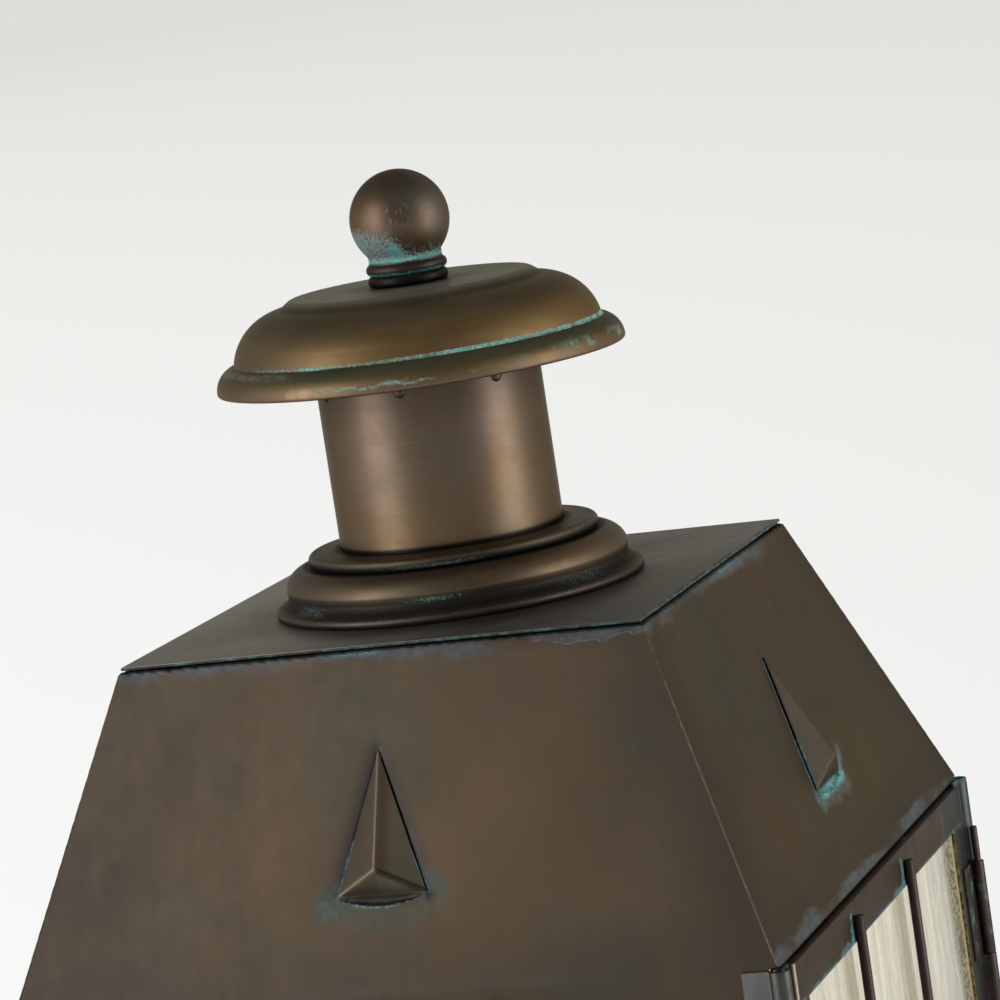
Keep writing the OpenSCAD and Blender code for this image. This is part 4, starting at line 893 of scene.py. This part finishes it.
def lathe(name, profile, material, axis=(0.0, 0.0), around=180, closed=True, wobble=0.0,
          smooth_angle=40.0):
    """Turns a profile of (radius, height above the top plate) about an upright axis."""
    points, faces = [], []
    count = len(profile)
    on_axis = [abs(r) < 1e-6 for r, _ in profile]
    first = []
    for i, (r, z) in enumerate(profile):
        first.append(len(points))
        if on_axis[i]:
            points.append((*axis, PLATE_Z + z))
            continue
        for k in range(around):
            turn = 2 * pi * k / around
            waves = sin(2 * turn + 0.4) + 0.5 * sin(3 * turn + z * 0.05) + 0.25 * sin(7 * turn + 1.3)
            spread = r + wobble * waves
            points.append((axis[0] + spread * cos(turn), axis[1] + spread * sin(turn), PLATE_Z + z))
    for i in range(count if closed else count - 1):
        j = (i + 1) % count
        for k in range(around):
            n = (k + 1) % around
            if on_axis[i] and on_axis[j]:
                break
            if on_axis[i]:
                faces.append((first[i], first[j] + k, first[j] + n))
            elif on_axis[j]:
                faces.append((first[i] + k, first[j], first[i] + n))
            else:
                faces.append((first[i] + k, first[j] + k, first[j] + n, first[i] + n))
    return face_outwards(new_piece(name, points, faces, material, smooth_angle))


def softened_node(node, material, bevel):
    """A CAD solid with its edges eased: a merged copy that stands for the node."""
    def merge(work):
        bmesh.ops.remove_doubles(work, verts=work.verts, dist=0.00001)
        bmesh.ops.dissolve_limit(work, angle_limit=radians(0.4), verts=work.verts, edges=work.edges)

    mesh = bpy.data.meshes.new(node + "_eased")
    edited(frame["nodes"][node].data, merge, mesh)
    mesh.materials.clear()
    mesh.materials.append(material)
    piece = added(node + "_eased", mesh)
    ease = piece.modifiers.new("ease", "BEVEL")
    ease.width = bevel * MM
    ease.segments = 2
    ease.limit_method = "ANGLE"
    ease.angle_limit = radians(32)
    ease.harden_normals = False
    return settle(piece, 35)


def cap_profile():
    outer = [(3.2, CAP_TOP), (43.2, CAP_TOP)]
    fall, run, steps = 3.3, 6.4, 14
    for i in range(1, steps):
        share = i / steps
        outer.append((43.2 + run * share, CAP_TOP - fall * share * share * (3 - 2 * share)))
    outer += arc(46.65, 90.5, 21.2, 81.5, 9.6, 56)
    outer += arc(66.05, 85.1, 8.9, 82, 0, 28)
    line = softened(outer, 0.35, 0.5)
    wall = walled(line, 1.2)
    return line + arc(73.85, 85.1, 1.1, 0, -180, 12) + wall[len(line):][6:]


def collar_profile():
    outer = [(41.4, 22.2), (51.1, 21.6)]
    outer += arc(51.1, 19.4, 2.4, 88, -66, 18)
    outer += [(51.9, 17.2), (54.7, 17.2)]
    outer += arc(54.7, 8.6, 8.6, 90, 10, 22)
    outer += arc(67.8, 8.6, 5.4, 196, 262, 14)
    outer += arc(66.3, 1.7, 1.7, 80, -90, 14)
    return walled(softened(outer, 0.3, 0.38), 1.2)


def finial_profile():
    stud_end, seat, neck_r, bead = 103.5, RING_TOP, 13.4, 2.2
    outer = [(0.0, stud_end), (3.0, stud_end), (3.0, seat), (12.6, seat)]
    outer += arc(12.65, seat + bead, bead, -84, 70, 16)
    outer += [(neck_r, seat + 2 * bead - 0.1), (neck_r, seat + 2 * bead + 2.3)]
    meet = degrees(atan2(-sqrt(BALL_R ** 2 - neck_r ** 2), neck_r))
    outer += arc(0.0, BALL_UP, BALL_R, meet, 90, 70)
    line = softened(outer, 0.3, 0.34)
    line[0], line[-1] = (0.0, stud_end), (0.0, BALL_UP + BALL_R)
    return line


def ring_profile():
    inner, outer, edge, seat = 3.2, 14.65, 1.6, RING_TOP
    loop = [(inner, CAP_TOP)]
    loop += arc(outer - edge, CAP_TOP + edge, edge, -90, 0, 8)
    loop += arc(outer - edge, seat - edge, edge, 0, 90, 8)
    loop += [(inner, seat)]
    return loop


def tube_profile():
    inner, outer, top = TUBE_R - 1.2, TUBE_R, 97.0
    ease = 0.3
    loop = [(inner, 0.0), (outer, 0.0)]
    loop += [(outer, 0.6 + (top - ease - 0.6) * i / 40) for i in range(41)]
    loop += arc(outer - ease, top - ease, ease, 0, 90, 4)
    loop += [(inner, top)]
    return loop


# ---------------------------------------------------------------- roof
def folded_path(corners, radii, spacing=0.4):
    """A folded section as points (out, z) with arcs at its corners."""
    path = [corners[0]]
    for i in range(1, len(corners) - 1):
        a, b, c = (Vector(corners[i - 1]), Vector(corners[i]), Vector(corners[i + 1]))
        into, away = (a - b).normalized(), (c - b).normalized()
        half = into.angle(away) / 2
        back = min(radii[i - 1] / tan(half), 0.49 * (a - b).length, 0.49 * (c - b).length)
        radius = back * tan(half)
        centre = b + (into + away).normalized() * (radius / sin(half))
        start, end = b + into * back, b + away * back
        turn0 = atan2(start.y - centre.y, start.x - centre.x)
        turn1 = atan2(end.y - centre.y, end.x - centre.x)
        while turn1 - turn0 > pi:
            turn1 -= 2 * pi
        while turn1 - turn0 < -pi:
            turn1 += 2 * pi
        for k in range(9):
            turn = turn0 + (turn1 - turn0) * k / 8
            path.append((centre.x + radius * cos(turn), centre.y + radius * sin(turn)))
    path.append(corners[-1])
    return even(path, spacing, False)


def smooth_least(values, blend):
    """Lower envelope with its creases rounded."""
    low = min(values)
    return low - blend * (sum(exp((low - v) / blend) for v in values) - 1) ** 0.5 * 0.35


def pyramid(x, down):
    """Height of the pushed-out facets above the sheet."""
    edge = HALF * (down - TIP) / (FOOT - TIP)
    at_peak = HALF * (PEAK - TIP) / (FOOT - TIP)
    foot = LIFT + (RISE - LIFT) * (FOOT - down) / (FOOT - PEAK)
    left = LIFT + (RISE - LIFT) * (edge + x) / at_peak
    right = LIFT + (RISE - LIFT) * (edge - x) / at_peak
    return smooth_least((left, right, foot), 0.45)


def slit_half(share):
    """Half width of the hole at a share of the louvre's length, a little open in the middle."""
    belly = 0.22 * sin(pi * min(1.0, max(0.0, share)) ** 0.7)
    return HALF * share + TIP_SLIT + belly + 0.06 * sin(47 * share)


def sheet_height(x, down):
    """Height of the roof sheet with its louvre, outside the slits."""
    reach = HALF * (down - TIP) / (FOOT - TIP)
    if TIP <= down <= FOOT and abs(x) <= reach + 0.02:
        return pyramid(x, down)
    beside = hypot(max(0.0, abs(x) - max(0.0, reach)), max(0.0, TIP - down, down - FOOT))
    dish = -0.35 * exp(-beside / 3.0)
    if down > FOOT and abs(x) < HALF + 3:
        across = min(1.0, abs(x) / HALF)
        bow = 0.5 + (BOW - 0.5) * (1 - across * across)
        along = (down - FOOT) / bow
        fade = 1.0 if abs(x) < HALF else exp(-(abs(x) - HALF) / 1.2)
        if along < 1.0:
            dip = LIFT * (1 - along) ** 2 - 0.9 * sin(pi * along) * (1 - across ** 4)
            return dish * (1 - fade) + dip * fade
        beyond = down - FOOT - bow
        return dish * (1 - fade) + fade * 0.42 * exp(-(beyond / 1.1) ** 2)
    return dish


def roof_sheet(name, side, material):
    """One sloping sheet with its louvre, the flange under the top plate and its folded lower edge."""
    sheet_top = PLATE_Z - SHEET - PLATE_SEAM
    top_out = TOP_HALF + (SHEET + PLATE_SEAM) * tan(SLOPE)
    corners = [(TOP_HALF - FLANGE, sheet_top), (top_out, sheet_top), (WALL, EAVE_Z)]
    if side == 1:
        under = EAVE_Z - SHEET
        corners += [(WALL - 0.5, under), (REBATE_FACE, under), (REBATE_FACE, REBATE_FOOT)]
        path = folded_path(corners, [0.9, 0.5, 0.4, 0.5])
        lower_half = REBATE_HALF
    else:
        corners += [(WALL, SKIRT_FOOT)]
        path = folded_path(corners, [0.9, 2.6])
        lower_half = CORNER_IN
    # lengths along the section and outward normals
    length = [0.0]
    for a, b in zip(path, path[1:]):
        length.append(length[-1] + hypot(b[0] - a[0], b[1] - a[1]))
    total = length[-1]

    def at(along):
        i = min(max(int(along / total * (len(path) - 1)), 0), len(path) - 2)
        while i > 0 and length[i] > along:
            i -= 1
        while i < len(path) - 2 and length[i + 1] < along:
            i += 1
        a, b = path[i], path[i + 1]
        share = (along - length[i]) / max(1e-6, length[i + 1] - length[i])
        run = hypot(b[0] - a[0], b[1] - a[1]) or 1.0
        point = (a[0] + (b[0] - a[0]) * share, a[1] + (b[1] - a[1]) * share)
        return point, (-(b[1] - a[1]) / run, (b[0] - a[0]) / run)

    # the fillet at the top fold shortens the section a little
    probe = [i for i in range(len(path)) if EAVE_Z + 20 < path[i][1] < sheet_top - 20]
    shift = (PLATE_Z - path[probe[0]][1]) / cos(SLOPE) - length[probe[0]]

    def half_width(along):
        (out, z), _ = at(along)
        if z < EAVE_Z - 0.2 or along > total - (EAVE_Z - path[-1][1]) + 0.2:
            return lower_half
        return out - SEAM

    # outline in the developed sheet
    turn_at = next(i for i in range(len(path)) if path[i][1] < EAVE_Z)
    corner = length[turn_at]
    right_edge = [(half_width(0.0), 0.0)]
    right_edge += [(half_width(s), s) for s in [corner * k / 90 for k in range(1, 90)]]
    right_edge += [(half_width(corner - 0.05), corner - 0.02), (lower_half, corner + 0.02)]
    right_edge += [(lower_half, corner + (total - corner) * k / 6) for k in range(1, 7)]
    loop = right_edge + [(-x, s) for x, s in right_edge[::-1]]

    coords, edges = [], []

    def chain(points, close=False):
        start = len(coords)
        coords.extend(Vector(p) for p in points)
        for k in range(len(points) - 1):
            edges.append((start + k, start + k + 1))
        if close:
            edges.append((start + len(points) - 1, start))

    chain(loop, True)
    tip, foot = TIP - shift, FOOT - shift
    lines = 44
    span = foot - tip
    for sign in (-1, 1):
        chain([(sign * HALF * k / lines, tip + span * k / lines) for k in range(lines + 1)])
        chain([(sign * slit_half(k / lines), tip + span * k / lines) for k in range(lines + 1)])
    chain([(-TIP_SLIT, tip), (0.0, tip - TIP_CUT), (TIP_SLIT, tip)])
    wide = slit_half(1.0)
    chain([(-wide + 2 * wide * k / 36, foot) for k in range(37)])
    # loose points: coarse over the sheet, close round the louvre, closer on the folds
    along = 3.0
    while along < total:
        half = half_width(along) - 1.0
        count = max(2, int(2 * half / 5.0))
        for k in range(count + 1):
            coords.append(Vector((-half + 2 * half * k / count, along)))
        (_, z), _ = at(along)
        folded = abs(z - sheet_top) < 1.4 or abs(z - EAVE_Z) < 3.0
        along += 0.5 if folded else 4.5
    pitch = 0.62
    for j in range(int((foot - tip + 16) / pitch)):
        s = tip - 5 + j * pitch
        share = (s - tip) / span
        reach = HALF * max(0.0, share) + (2.5 if s < foot else 3.5)
        for k in range(-int(reach / pitch), int(reach / pitch) + 1):
            x = k * pitch + (0.31 if j % 2 else 0.0)
            clear = min(abs(abs(x) - HALF * share), abs(abs(x) - slit_half(share)), abs(s - foot))
            if clear > 0.2:
                coords.append(Vector((x, s)))
    verts, _, tris, _, _, _ = delaunay_2d_cdt(coords, edges, [], 0, 1e-5)

    def inside(x, s):
        if s < 0 or s > total:
            return False
        limit = half_width(s)
        if abs(s - corner) < 0.3:
            limit = half_width(corner - 0.1) if s < corner else lower_half
        if abs(x) > limit - 0.002:
            return False
        if tip < s < foot:
            share = (s - tip) / span
            return not HALF * share < abs(x) < slit_half(share)
        return not (tip - TIP_CUT < s <= tip and abs(x) < TIP_SLIT * (s - tip + TIP_CUT) / TIP_CUT)

    keep = []
    for tri in tris:
        a, b, c = (verts[i] for i in tri)
        area = abs((b - a).cross(c - a))
        longest = max((b - a).length, (c - b).length, (a - c).length)
        centre = (a + b + c) / 3
        if area > 0.004 * longest and inside(centre.x, centre.y):
            keep.append(tuple(tri))
    used = sorted({i for tri in keep for i in tri})
    index = {old: new for new, old in enumerate(used)}
    turn = Matrix.Rotation(radians(90 * side), 3, "Z")
    points = []
    for i in used:
        x, s = verts[i]
        (out, z), (n_out, n_z) = at(s)
        down = s + shift
        height = 0.0
        if TIP - 14 < down < FOOT + 14 and abs(x) < 34:
            height = sheet_height(x, down)
        # a slightly uneven sheet, flat towards its edges
        waves = sin(x * 0.034 + side) * sin(down * 0.045 + 0.7 * side) + 0.5 * sin(x * 0.071 + down * 0.06)
        for room in ((half_width(s) - abs(x)) / 25, (down - 4) / 20, (116 - down) / 20):
            waves *= min(1.0, max(0.0, room))
        height += 0.22 * waves
        points.append(turn @ Vector((x, -out - n_out * height, z + n_z * height)))
    faces = [tuple(index[i] for i in tri) for tri in keep]
    piece = new_piece(name, points, faces, material)
    outward = turn @ Vector((0, -1, 0.3))

    def join(work):
        bmesh.ops.remove_doubles(work, verts=work.verts, dist=0.00002)
        bmesh.ops.recalc_face_normals(work, faces=work.faces)
        lead = max(work.faces, key=lambda face: face.calc_area())
        if lead.normal.dot(outward) < 0:
            bmesh.ops.reverse_faces(work, faces=work.faces)

    edited(piece.data, join)
    wall = piece.modifiers.new("wall", "SOLIDIFY")
    wall.thickness = SHEET * MM
    wall.offset = -1
    return settle(piece, 50)


def bar_faces(base, levels, sides):
    """Faces of a closed bar whose rings of points follow each other from base on."""
    faces = []
    for a in range(base, base + levels * sides, sides):
        for k in range(sides):
            n = (k + 1) % sides
            faces.append((a + k, a + n, a + sides + n, a + sides + k))
    first = tuple(range(base, base + sides))
    return faces + [first[::-1], tuple(k + levels * sides for k in first)]


def bars(name, material, build):
    """Closed bars that repeat on the four sides: build gives the rings of points of one side."""
    points, faces = [], []
    for quarter in range(4):
        turn = Matrix.Rotation(radians(90 * quarter), 3, "Z")
        for rings in build(quarter):
            faces += bar_faces(len(points), len(rings) - 1, len(rings[0]))
            points += [turn @ point for ring in rings for point in ring]
    return face_outwards(new_piece(name, points, faces, material))


def hip_seams(material):
    """Fine solder line along each hip, where two roof sheets meet."""
    steps, sides = 90, 8
    start = Vector((TOP_HALF + 0.6, -TOP_HALF - 0.6, PLATE_Z - 2.2))
    end = Vector((WALL - 0.1, -WALL + 0.1, EAVE_Z + 0.4))
    along = (end - start).normalized()
    side = along.cross(Vector((1, -1, 0)).normalized()).normalized()
    out = side.cross(along).normalized()
    if out.x < 0:
        out = -out

    def seam(corner):
        rings = []
        for i in range(steps + 1):
            size = 0.30 + 0.07 * sin(i * 1.7 + corner) * sin(i * 0.53)
            if i in (0, steps):
                size *= 0.4
            centre = start + (end - start) * (i / steps) - out * 0.12
            angles = [2 * pi * k / sides for k in range(sides)]
            rings.append([centre + side * (size * cos(t)) + out * (size * sin(t)) for t in angles])
        return [rings]

    return bars("hip_seams", material, seam)


def louvre_returns(material):
    """Narrow black flanges folded down along both cut edges of a louvre: painted shade that keeps the slits
    dark.
    """
    count = 30
    outwards = Vector((0, -cos(SLOPE), sin(SLOPE)))
    corners = ((0.15, LIFT - 0.9), (0.15, -3.6), (0.55, -3.6), (0.55, LIFT - 0.9))

    def flange(sign):
        rings = []
        for k in range(count + 1):
            share = 0.05 + 0.97 * k / count
            down = TIP + (FOOT - TIP) * share
            out, z = TOP_HALF + down * sin(SLOPE), PLATE_Z - down * cos(SLOPE)
            rings.append([
                Vector((sign * max(0.02, HALF * share - inset), -out, z)) + outwards * rise
                for inset, rise in corners
            ])
        return rings

    return bars("louvre_returns", material, lambda quarter: [flange(-1), flange(1)])


def corner_plugs(material):
    """Black lumps, shaped like solder, that close the roof's four lower corners above the posts: painted
    shade in the corners.
    """
    angles = [2 * pi * (k + 0.5) / 8 for k in range(8)]
    rings = [
        [Vector((137.5 + half * cos(t), -137.5 + half * sin(t), z)) for t in angles]
        for z, half in ((312.6, 1.2), (314.2, 1.5), (321.6, 1.5), (323.9, 0.9))
    ]
    return bars("corner_plugs", material, lambda quarter: [rings])


# ---------------------------------------------------------------- repeats by geometry nodes
class Field:
    """Short calls that build one geometry node tree."""

    def __init__(self, name, sizes):
        self.tree = bpy.data.node_groups.new(name, "GeometryNodeTree")
        sockets = self.tree.interface
        sockets.new_socket("Geometry", in_out="OUTPUT", socket_type="NodeSocketGeometry")
        self.ids = {}
        for label, kind, value in sizes:
            item = sockets.new_socket(label, in_out="INPUT", socket_type="NodeSocket" + kind)
            if kind != "Material":
                item.default_value = value
            self.ids[label] = item.identifier
        self.inputs = self.tree.nodes.new("NodeGroupInput")
        self.outputs = self.tree.nodes.new("NodeGroupOutput")

    def get(self, name):
        return self.inputs.outputs[name]

    def node(self, kind, inputs=None, **settings):
        """The first output of a new node."""
        node = self.tree.nodes.new(kind)
        for key, value in settings.items():
            setattr(node, key, value)
        for key, value in (inputs or {}).items():
            if isinstance(value, bpy.types.NodeSocket):
                self.tree.links.new(value, node.inputs[key])
            else:
                node.inputs[key].default_value = value
        return node.outputs[0]

    def math(self, operation, a, b):
        return self.node("ShaderNodeMath", {0: a, 1: b}, operation=operation)

    def point(self, x=0.0, y=0.0, z=0.0):
        return self.node("ShaderNodeCombineXYZ", {0: x, 1: y, 2: z})


def rivet_field():
    """Domed rivets at equal turns on a circle, heads outwards or upwards."""
    f = Field("rivet_circle", (
        ("Count", "Int", 7), ("Radius", "Float", 0.04), ("Height", "Float", 0.1), ("Turn", "Float", 0.0),
        ("Head Diameter", "Float", 0.0044), ("Head Rise", "Float", 0.0012),
        ("Shank Diameter", "Float", 0.0024), ("Shank Length", "Float", 0.003), ("Tilt", "Float", pi / 2),
        ("Material", "Material", None),
    ))
    half_head = f.math("MULTIPLY", f.get("Head Diameter"), 0.5)
    dome = f.node("GeometryNodeMeshUVSphere", {"Segments": 24, "Rings": 14, "Radius": 1.0})
    squash = f.point(half_head, half_head, f.get("Head Rise"))
    dome = f.node("GeometryNodeTransform", {"Geometry": dome, "Scale": squash})
    shank = f.node("GeometryNodeMeshCylinder", {
        "Vertices": 16, "Radius": f.math("MULTIPLY", f.get("Shank Diameter"), 0.5),
        "Depth": f.get("Shank Length"),
    })
    drop = f.point(z=f.math("MULTIPLY", f.get("Shank Length"), -0.5))
    shank = f.node("GeometryNodeTransform", {"Geometry": shank, "Translation": drop})
    rivet = f.tree.nodes.new("GeometryNodeJoinGeometry")
    for part in (dome, shank):
        f.tree.links.new(part, rivet.inputs[0])
    tilt = f.point(y=f.get("Tilt"))
    rivet = f.node("GeometryNodeTransform", {"Geometry": rivet.outputs[0], "Rotation": tilt})
    line = f.node("GeometryNodeMeshLine", {"Count": f.get("Count"), "Offset": (0, 0, 0)})
    step = f.math("DIVIDE", 2 * pi, f.get("Count"))
    turn = f.math("ADD", f.math("MULTIPLY", f.node("GeometryNodeInputIndex"), step), f.get("Turn"))
    across = f.math("MULTIPLY", f.get("Radius"), f.math("COSINE", turn, 0.0))
    ahead = f.math("MULTIPLY", f.get("Radius"), f.math("SINE", turn, 0.0))
    place = f.point(across, ahead, f.get("Height"))
    points = f.node("GeometryNodeSetPosition", {"Geometry": line, "Position": place})
    spread = f.node("GeometryNodeInstanceOnPoints", {
        "Points": points, "Instance": rivet, "Rotation": f.point(z=turn),
    })
    real = f.node("GeometryNodeRealizeInstances", {0: spread})
    coated = f.node("GeometryNodeSetMaterial", {"Geometry": real, "Material": f.get("Material")})
    f.tree.links.new(coated, f.outputs.inputs[0])
    return f


def grown(name, field, sizes):
    """A piece made by a geometry node tree, turned into plain mesh."""
    piece = added(name, bpy.data.meshes.new(name))
    nodes = piece.modifiers.new("field", "NODES")
    nodes.node_group = field.tree
    for key, value in sizes.items():
        nodes[field.ids[key]] = value
    return settle(piece)


# ---------------------------------------------------------------- build
def wear(node, material):
    """A CAD node whose shape is right gets its finish."""
    for slot in frame["nodes"][node].material_slots:
        slot.material = material


def stands_for(piece, body, slot, *nodes):
    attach(piece, body)
    if nodes:
        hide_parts(*nodes)


dark_metal = plain_finish("dark_bronze", DARK_TONES, 61.0)
brown_metal = plain_finish("brown_bronze", SHEET_TONES, 63.0)
purple_metal = plain_finish("purple_bronze", PURPLE_TONES, 65.0, growth=0.2)
# near-black for painted shade: the louvre returns and the corner plugs
shade_fill_metal = plain_finish("painted_shade_fill", SHADE_FILL_TONES, 66.0, (0.6, 0.7), 0.0)
brass = plain_finish("turned_brass_aged", BRASS_TONES, 67.0, (0.28, 0.4), 0.12)
solder = plain_finish("hip_solder", SOLDER_TONES, 69.0, (0.45, 0.6), 0.1, 0.6)
copper_plate = plate_finish()
door_metal = frame_finish("door_copper", DOOR_TONES, 71.0, (-45.0, 35.0))
post_metal = frame_finish("post_copper", POST_TONES, 73.0)
hinge_metal = hinge_finish()

cap = lathe("cap_spun", cap_profile(), cap_finish(), CAP_AXIS, 220, wobble=0.07)
stands_for(cap, "lantern", "aged_copper", "cap")
collar = lathe("collar_spun", collar_profile(), collar_finish(), around=200, wobble=0.05)
stands_for(collar, "lantern", "aged_copper", "chimney_collar")
tube = lathe("tube_rolled", tube_profile(), tube_finish(), around=200, wobble=0.03, smooth_angle=60)
stands_for(tube, "lantern", "aged_bronze", "chimney_tube")
ball = lathe("finial_turned", finial_profile(), ball_finish(), CAP_AXIS, 120, closed=False)
stands_for(ball, "lantern", "turned_brass", "finial")
band = lathe("finial_ring_turned", ring_profile(), ring_finish(), CAP_AXIS, 120)
stands_for(band, "lantern", "aged_copper", "finial_ring")

for side, name in enumerate(SIDES):
    sheet = roof_sheet("roof_%s_sheet" % name, side, roof_finish(side))
    stands_for(sheet, "lantern", "aged_copper", "roof_" + name)
for piece in (hip_seams(solder), louvre_returns(shade_fill_metal), corner_plugs(shade_fill_metal)):
    stands_for(piece, "lantern", "aged_copper")

for material, body, slot, nodes in (
    (copper_plate, "lantern", "aged_copper", (("top_plate", 0.35),)),
    (post_metal, "lantern", "aged_bronze", (
        ("corner_post_front_right", 0.25), ("corner_post_front_left", 0.25),
        ("corner_post_back_right", 0.25), ("corner_post_back_left", 0.25))),
    (door_metal, "door", "aged_copper", (("door_frame", 0.25),)),
    (purple_metal, "door", "aged_bronze", (("door_rods", 0.4),)),
    (purple_metal, "lantern", "aged_bronze", (
        ("guard_rods_front", 0.4), ("guard_rods_back", 0.4), ("guard_rods_left", 0.4), ("hinge_pin", 0.3))),
    (hinge_metal, "door", "aged_bronze", (("hinge_leaf_door", 0.15),)),
    (hinge_metal, "lantern", "aged_bronze", (("hinge_leaf_post", 0.15),)),
    (brown_metal, "lantern", "aged_copper", (
        ("base_pan", 0.3), ("post_fitter", 0.4), ("fitter_flange", 0.4), ("cap_stay", 0.2))),
    (brass, "latch", "turned_brass", (("latch_knob", 0.3), ("latch_tongue", 0.2))),
    (brass, "lantern", "turned_brass", (
        ("set_screws", 0.4), ("finial_nut", 0.3), ("cluster_stem", 0.3), ("stem_nut", 0.3),
        ("cluster_arms", 0.3), ("candle_cups", 0.3))),
    (dark_metal, "lantern", "aged_bronze", (("glass_clips", 0.2),)),
    (dark_metal, "door", "aged_bronze", (("door_clips", 0.2),)),
):
    for node, bevel in nodes:
        stands_for(softened_node(node, material, bevel), body, slot, node)

rivets = rivet_field()
head = {"Head Diameter": 4.4 * MM, "Shank Diameter": 2.4 * MM, "Material": brown_metal}
stay = grown("stay_rivets_domed", rivets, {
    **head, "Count": 7, "Radius": TUBE_R * MM, "Height": (PLATE_Z + 80) * MM, "Turn": radians(-86.3),
    "Head Rise": 1.35 * MM, "Shank Length": 3.4 * MM, "Tilt": pi / 2,
})
stands_for(stay, "lantern", "aged_bronze", "stay_rivets")
flange_rivets = grown("fitter_rivets_domed", rivets, {
    **head, "Count": 6, "Radius": 59.55 * MM, "Height": PAN_TOP * MM, "Turn": 0.0,
    "Head Rise": 1.4 * MM, "Shank Length": 4.6 * MM, "Tilt": 0.0,
})
stands_for(flange_rivets, "lantern", "aged_bronze", "fitter_rivets")

wear("glass_front", glass_finish("seedy_glass_front", 2.0))
wear("glass_back", glass_finish("seedy_glass_back", 12.0))
wear("glass_left", glass_finish("seedy_glass_left", 22.0))
wear("door_glass", glass_finish("seedy_glass_door", 32.0, True))
for node, material in (
    ("candle_sleeve_", sleeve_finish()), ("lampholder_", holder_finish()), ("bulb_", bulb_finish()),
):
    for number in "123":
        wear(node + number, material)


# ---------------------------------------------------------------- studio
PALE_NEAR = (0.945, 0.948, 0.935)
PALE_FAR = (0.725, 0.733, 0.690)


def studio_world():
    """Pale light all round. Reflections see a dim ceiling and a dim room on the camera's side."""
    world = bpy.data.worlds.new("studio")
    g = Graph(world)
    way = g.node("ShaderNodeTexCoord").outputs["Generated"]
    glossy = g.node("ShaderNodeLightPath").outputs["Is Glossy Ray"]
    ceiling = g.step(g.split(way)[2], 0.25, 0.75)
    ahead = (cos(radians(VIEW_TURN)), sin(radians(VIEW_TURN)), 0.13)
    dim = g.step(g.vector("DOT_PRODUCT", way, ahead), -0.1, 0.8)
    tone = g.mix(ceiling * glossy, PALE_FAR, (0.32, 0.32, 0.31))
    tone = g.mix(dim * glossy, tone, (0.14, 0.14, 0.135))
    plain = g.node("ShaderNodeBackground", {"Color": (0.80, 0.80, 0.79), "Strength": 0.55})
    shown = g.node("ShaderNodeBackground", {"Color": tone})
    both = g.blend(g.rays_that_see(), plain.outputs[0], shown.outputs[0])
    g.node("ShaderNodeOutputWorld", {"Surface": both})
    bpy.context.scene.world = world


def studio_floor():
    """A pale floor that keeps the shadow near the lantern and runs out into the background."""
    g = Coat("studio_floor")
    r = g.radius(g.place)
    x, y, _ = g.split(g.place)
    yaw = radians(VIEW_TURN + 90)
    across = (x * cos(yaw) + y * sin(yaw)) / (r + 1740)
    near = (1 / (1 + r / 16000.0) - 0.4) / 0.6 - across * 1.2 * g.step(r, 28000.0, 12000.0)
    paper = g.node("ShaderNodeBsdfDiffuse", {"Color": (0.80, 0.80, 0.785)})
    glow = g.node("ShaderNodeEmission", {"Color": g.mix(near, PALE_FAR, PALE_NEAR)})
    far = g.step(r, 450.0, 1000.0) * g.rays_that_see()
    material = g.coated(g.blend(far, paper.outputs[0], glow.outputs[0]))
    count = 64
    size = 30000.0
    turns = [2 * pi * k / count for k in range(count)]
    points = [(0, 0, 0)] + [(size * cos(turn), size * sin(turn), 0) for turn in turns]
    faces = [(0, 1 + k, 1 + (k + 1) % count) for k in range(count)]
    new_piece("studio_floor", points, faces, material)


def softbox(name, turn, height, distance, width, tall, power):
    """An area lamp at a compass angle from the camera's side, aimed at the lantern's cap."""
    data = bpy.data.lights.new(name, "AREA")
    data.shape = "RECTANGLE"
    data.size = width
    data.size_y = tall
    data.energy = power
    lamp = added(name, data)
    angle = radians(VIEW_TURN + turn)
    aim = Vector((0, 0, 0.46))
    lamp.location = aim + Vector((distance * cos(angle), distance * sin(angle), height))
    lamp.rotation_euler = (aim - lamp.location).to_track_quat("-Z", "Y").to_euler()
    lamp.visible_camera = False
    lamp.visible_transmission = False
    return lamp


def studio_camera():
    """Camera set from the lantern's edges in the photograph; lengths in tube radii."""
    yaw, pitch, roll = radians(18.846), radians(7.666), radians(-8.593)
    back = Vector((sin(yaw) * cos(pitch), -cos(yaw) * cos(pitch), sin(pitch)))
    right = Vector((cos(yaw), sin(yaw), 0))
    up = back.cross(right)
    across = right * cos(roll) + up * sin(roll)
    above = up * cos(roll) - right * sin(roll)
    shift_x, shift_y, distance = -0.34588, -0.80793, 42.3062
    unit = TUBE_R * MM
    place = (across * -shift_x - above * shift_y + back * distance) * unit + Vector((0, 0, PLATE_Z * MM))
    data = bpy.data.cameras.new("camera")
    data.sensor_fit = "HORIZONTAL"
    data.sensor_width = 36.0
    data.lens = 4.7494 * 36.0
    data.clip_start = 0.05
    data.clip_end = 100.0
    camera = added("camera", data)
    rotation = Matrix((across, above, back)).transposed().to_4x4()
    camera.matrix_world = Matrix.Translation(place) @ rotation
    bpy.context.scene.camera = camera


studio_world()
studio_floor()
softbox("softbox_left", -62, 0.42, 1.55, 0.9, 1.5, 17)
softbox("softbox_right", 70, 0.10, 1.55, 0.8, 1.4, 15)
softbox("softbox_top", -150, 1.7, 0.9, 1.4, 1.4, 15).visible_glossy = False
studio_camera()
bpy.context.scene.view_settings.view_transform = "Standard"
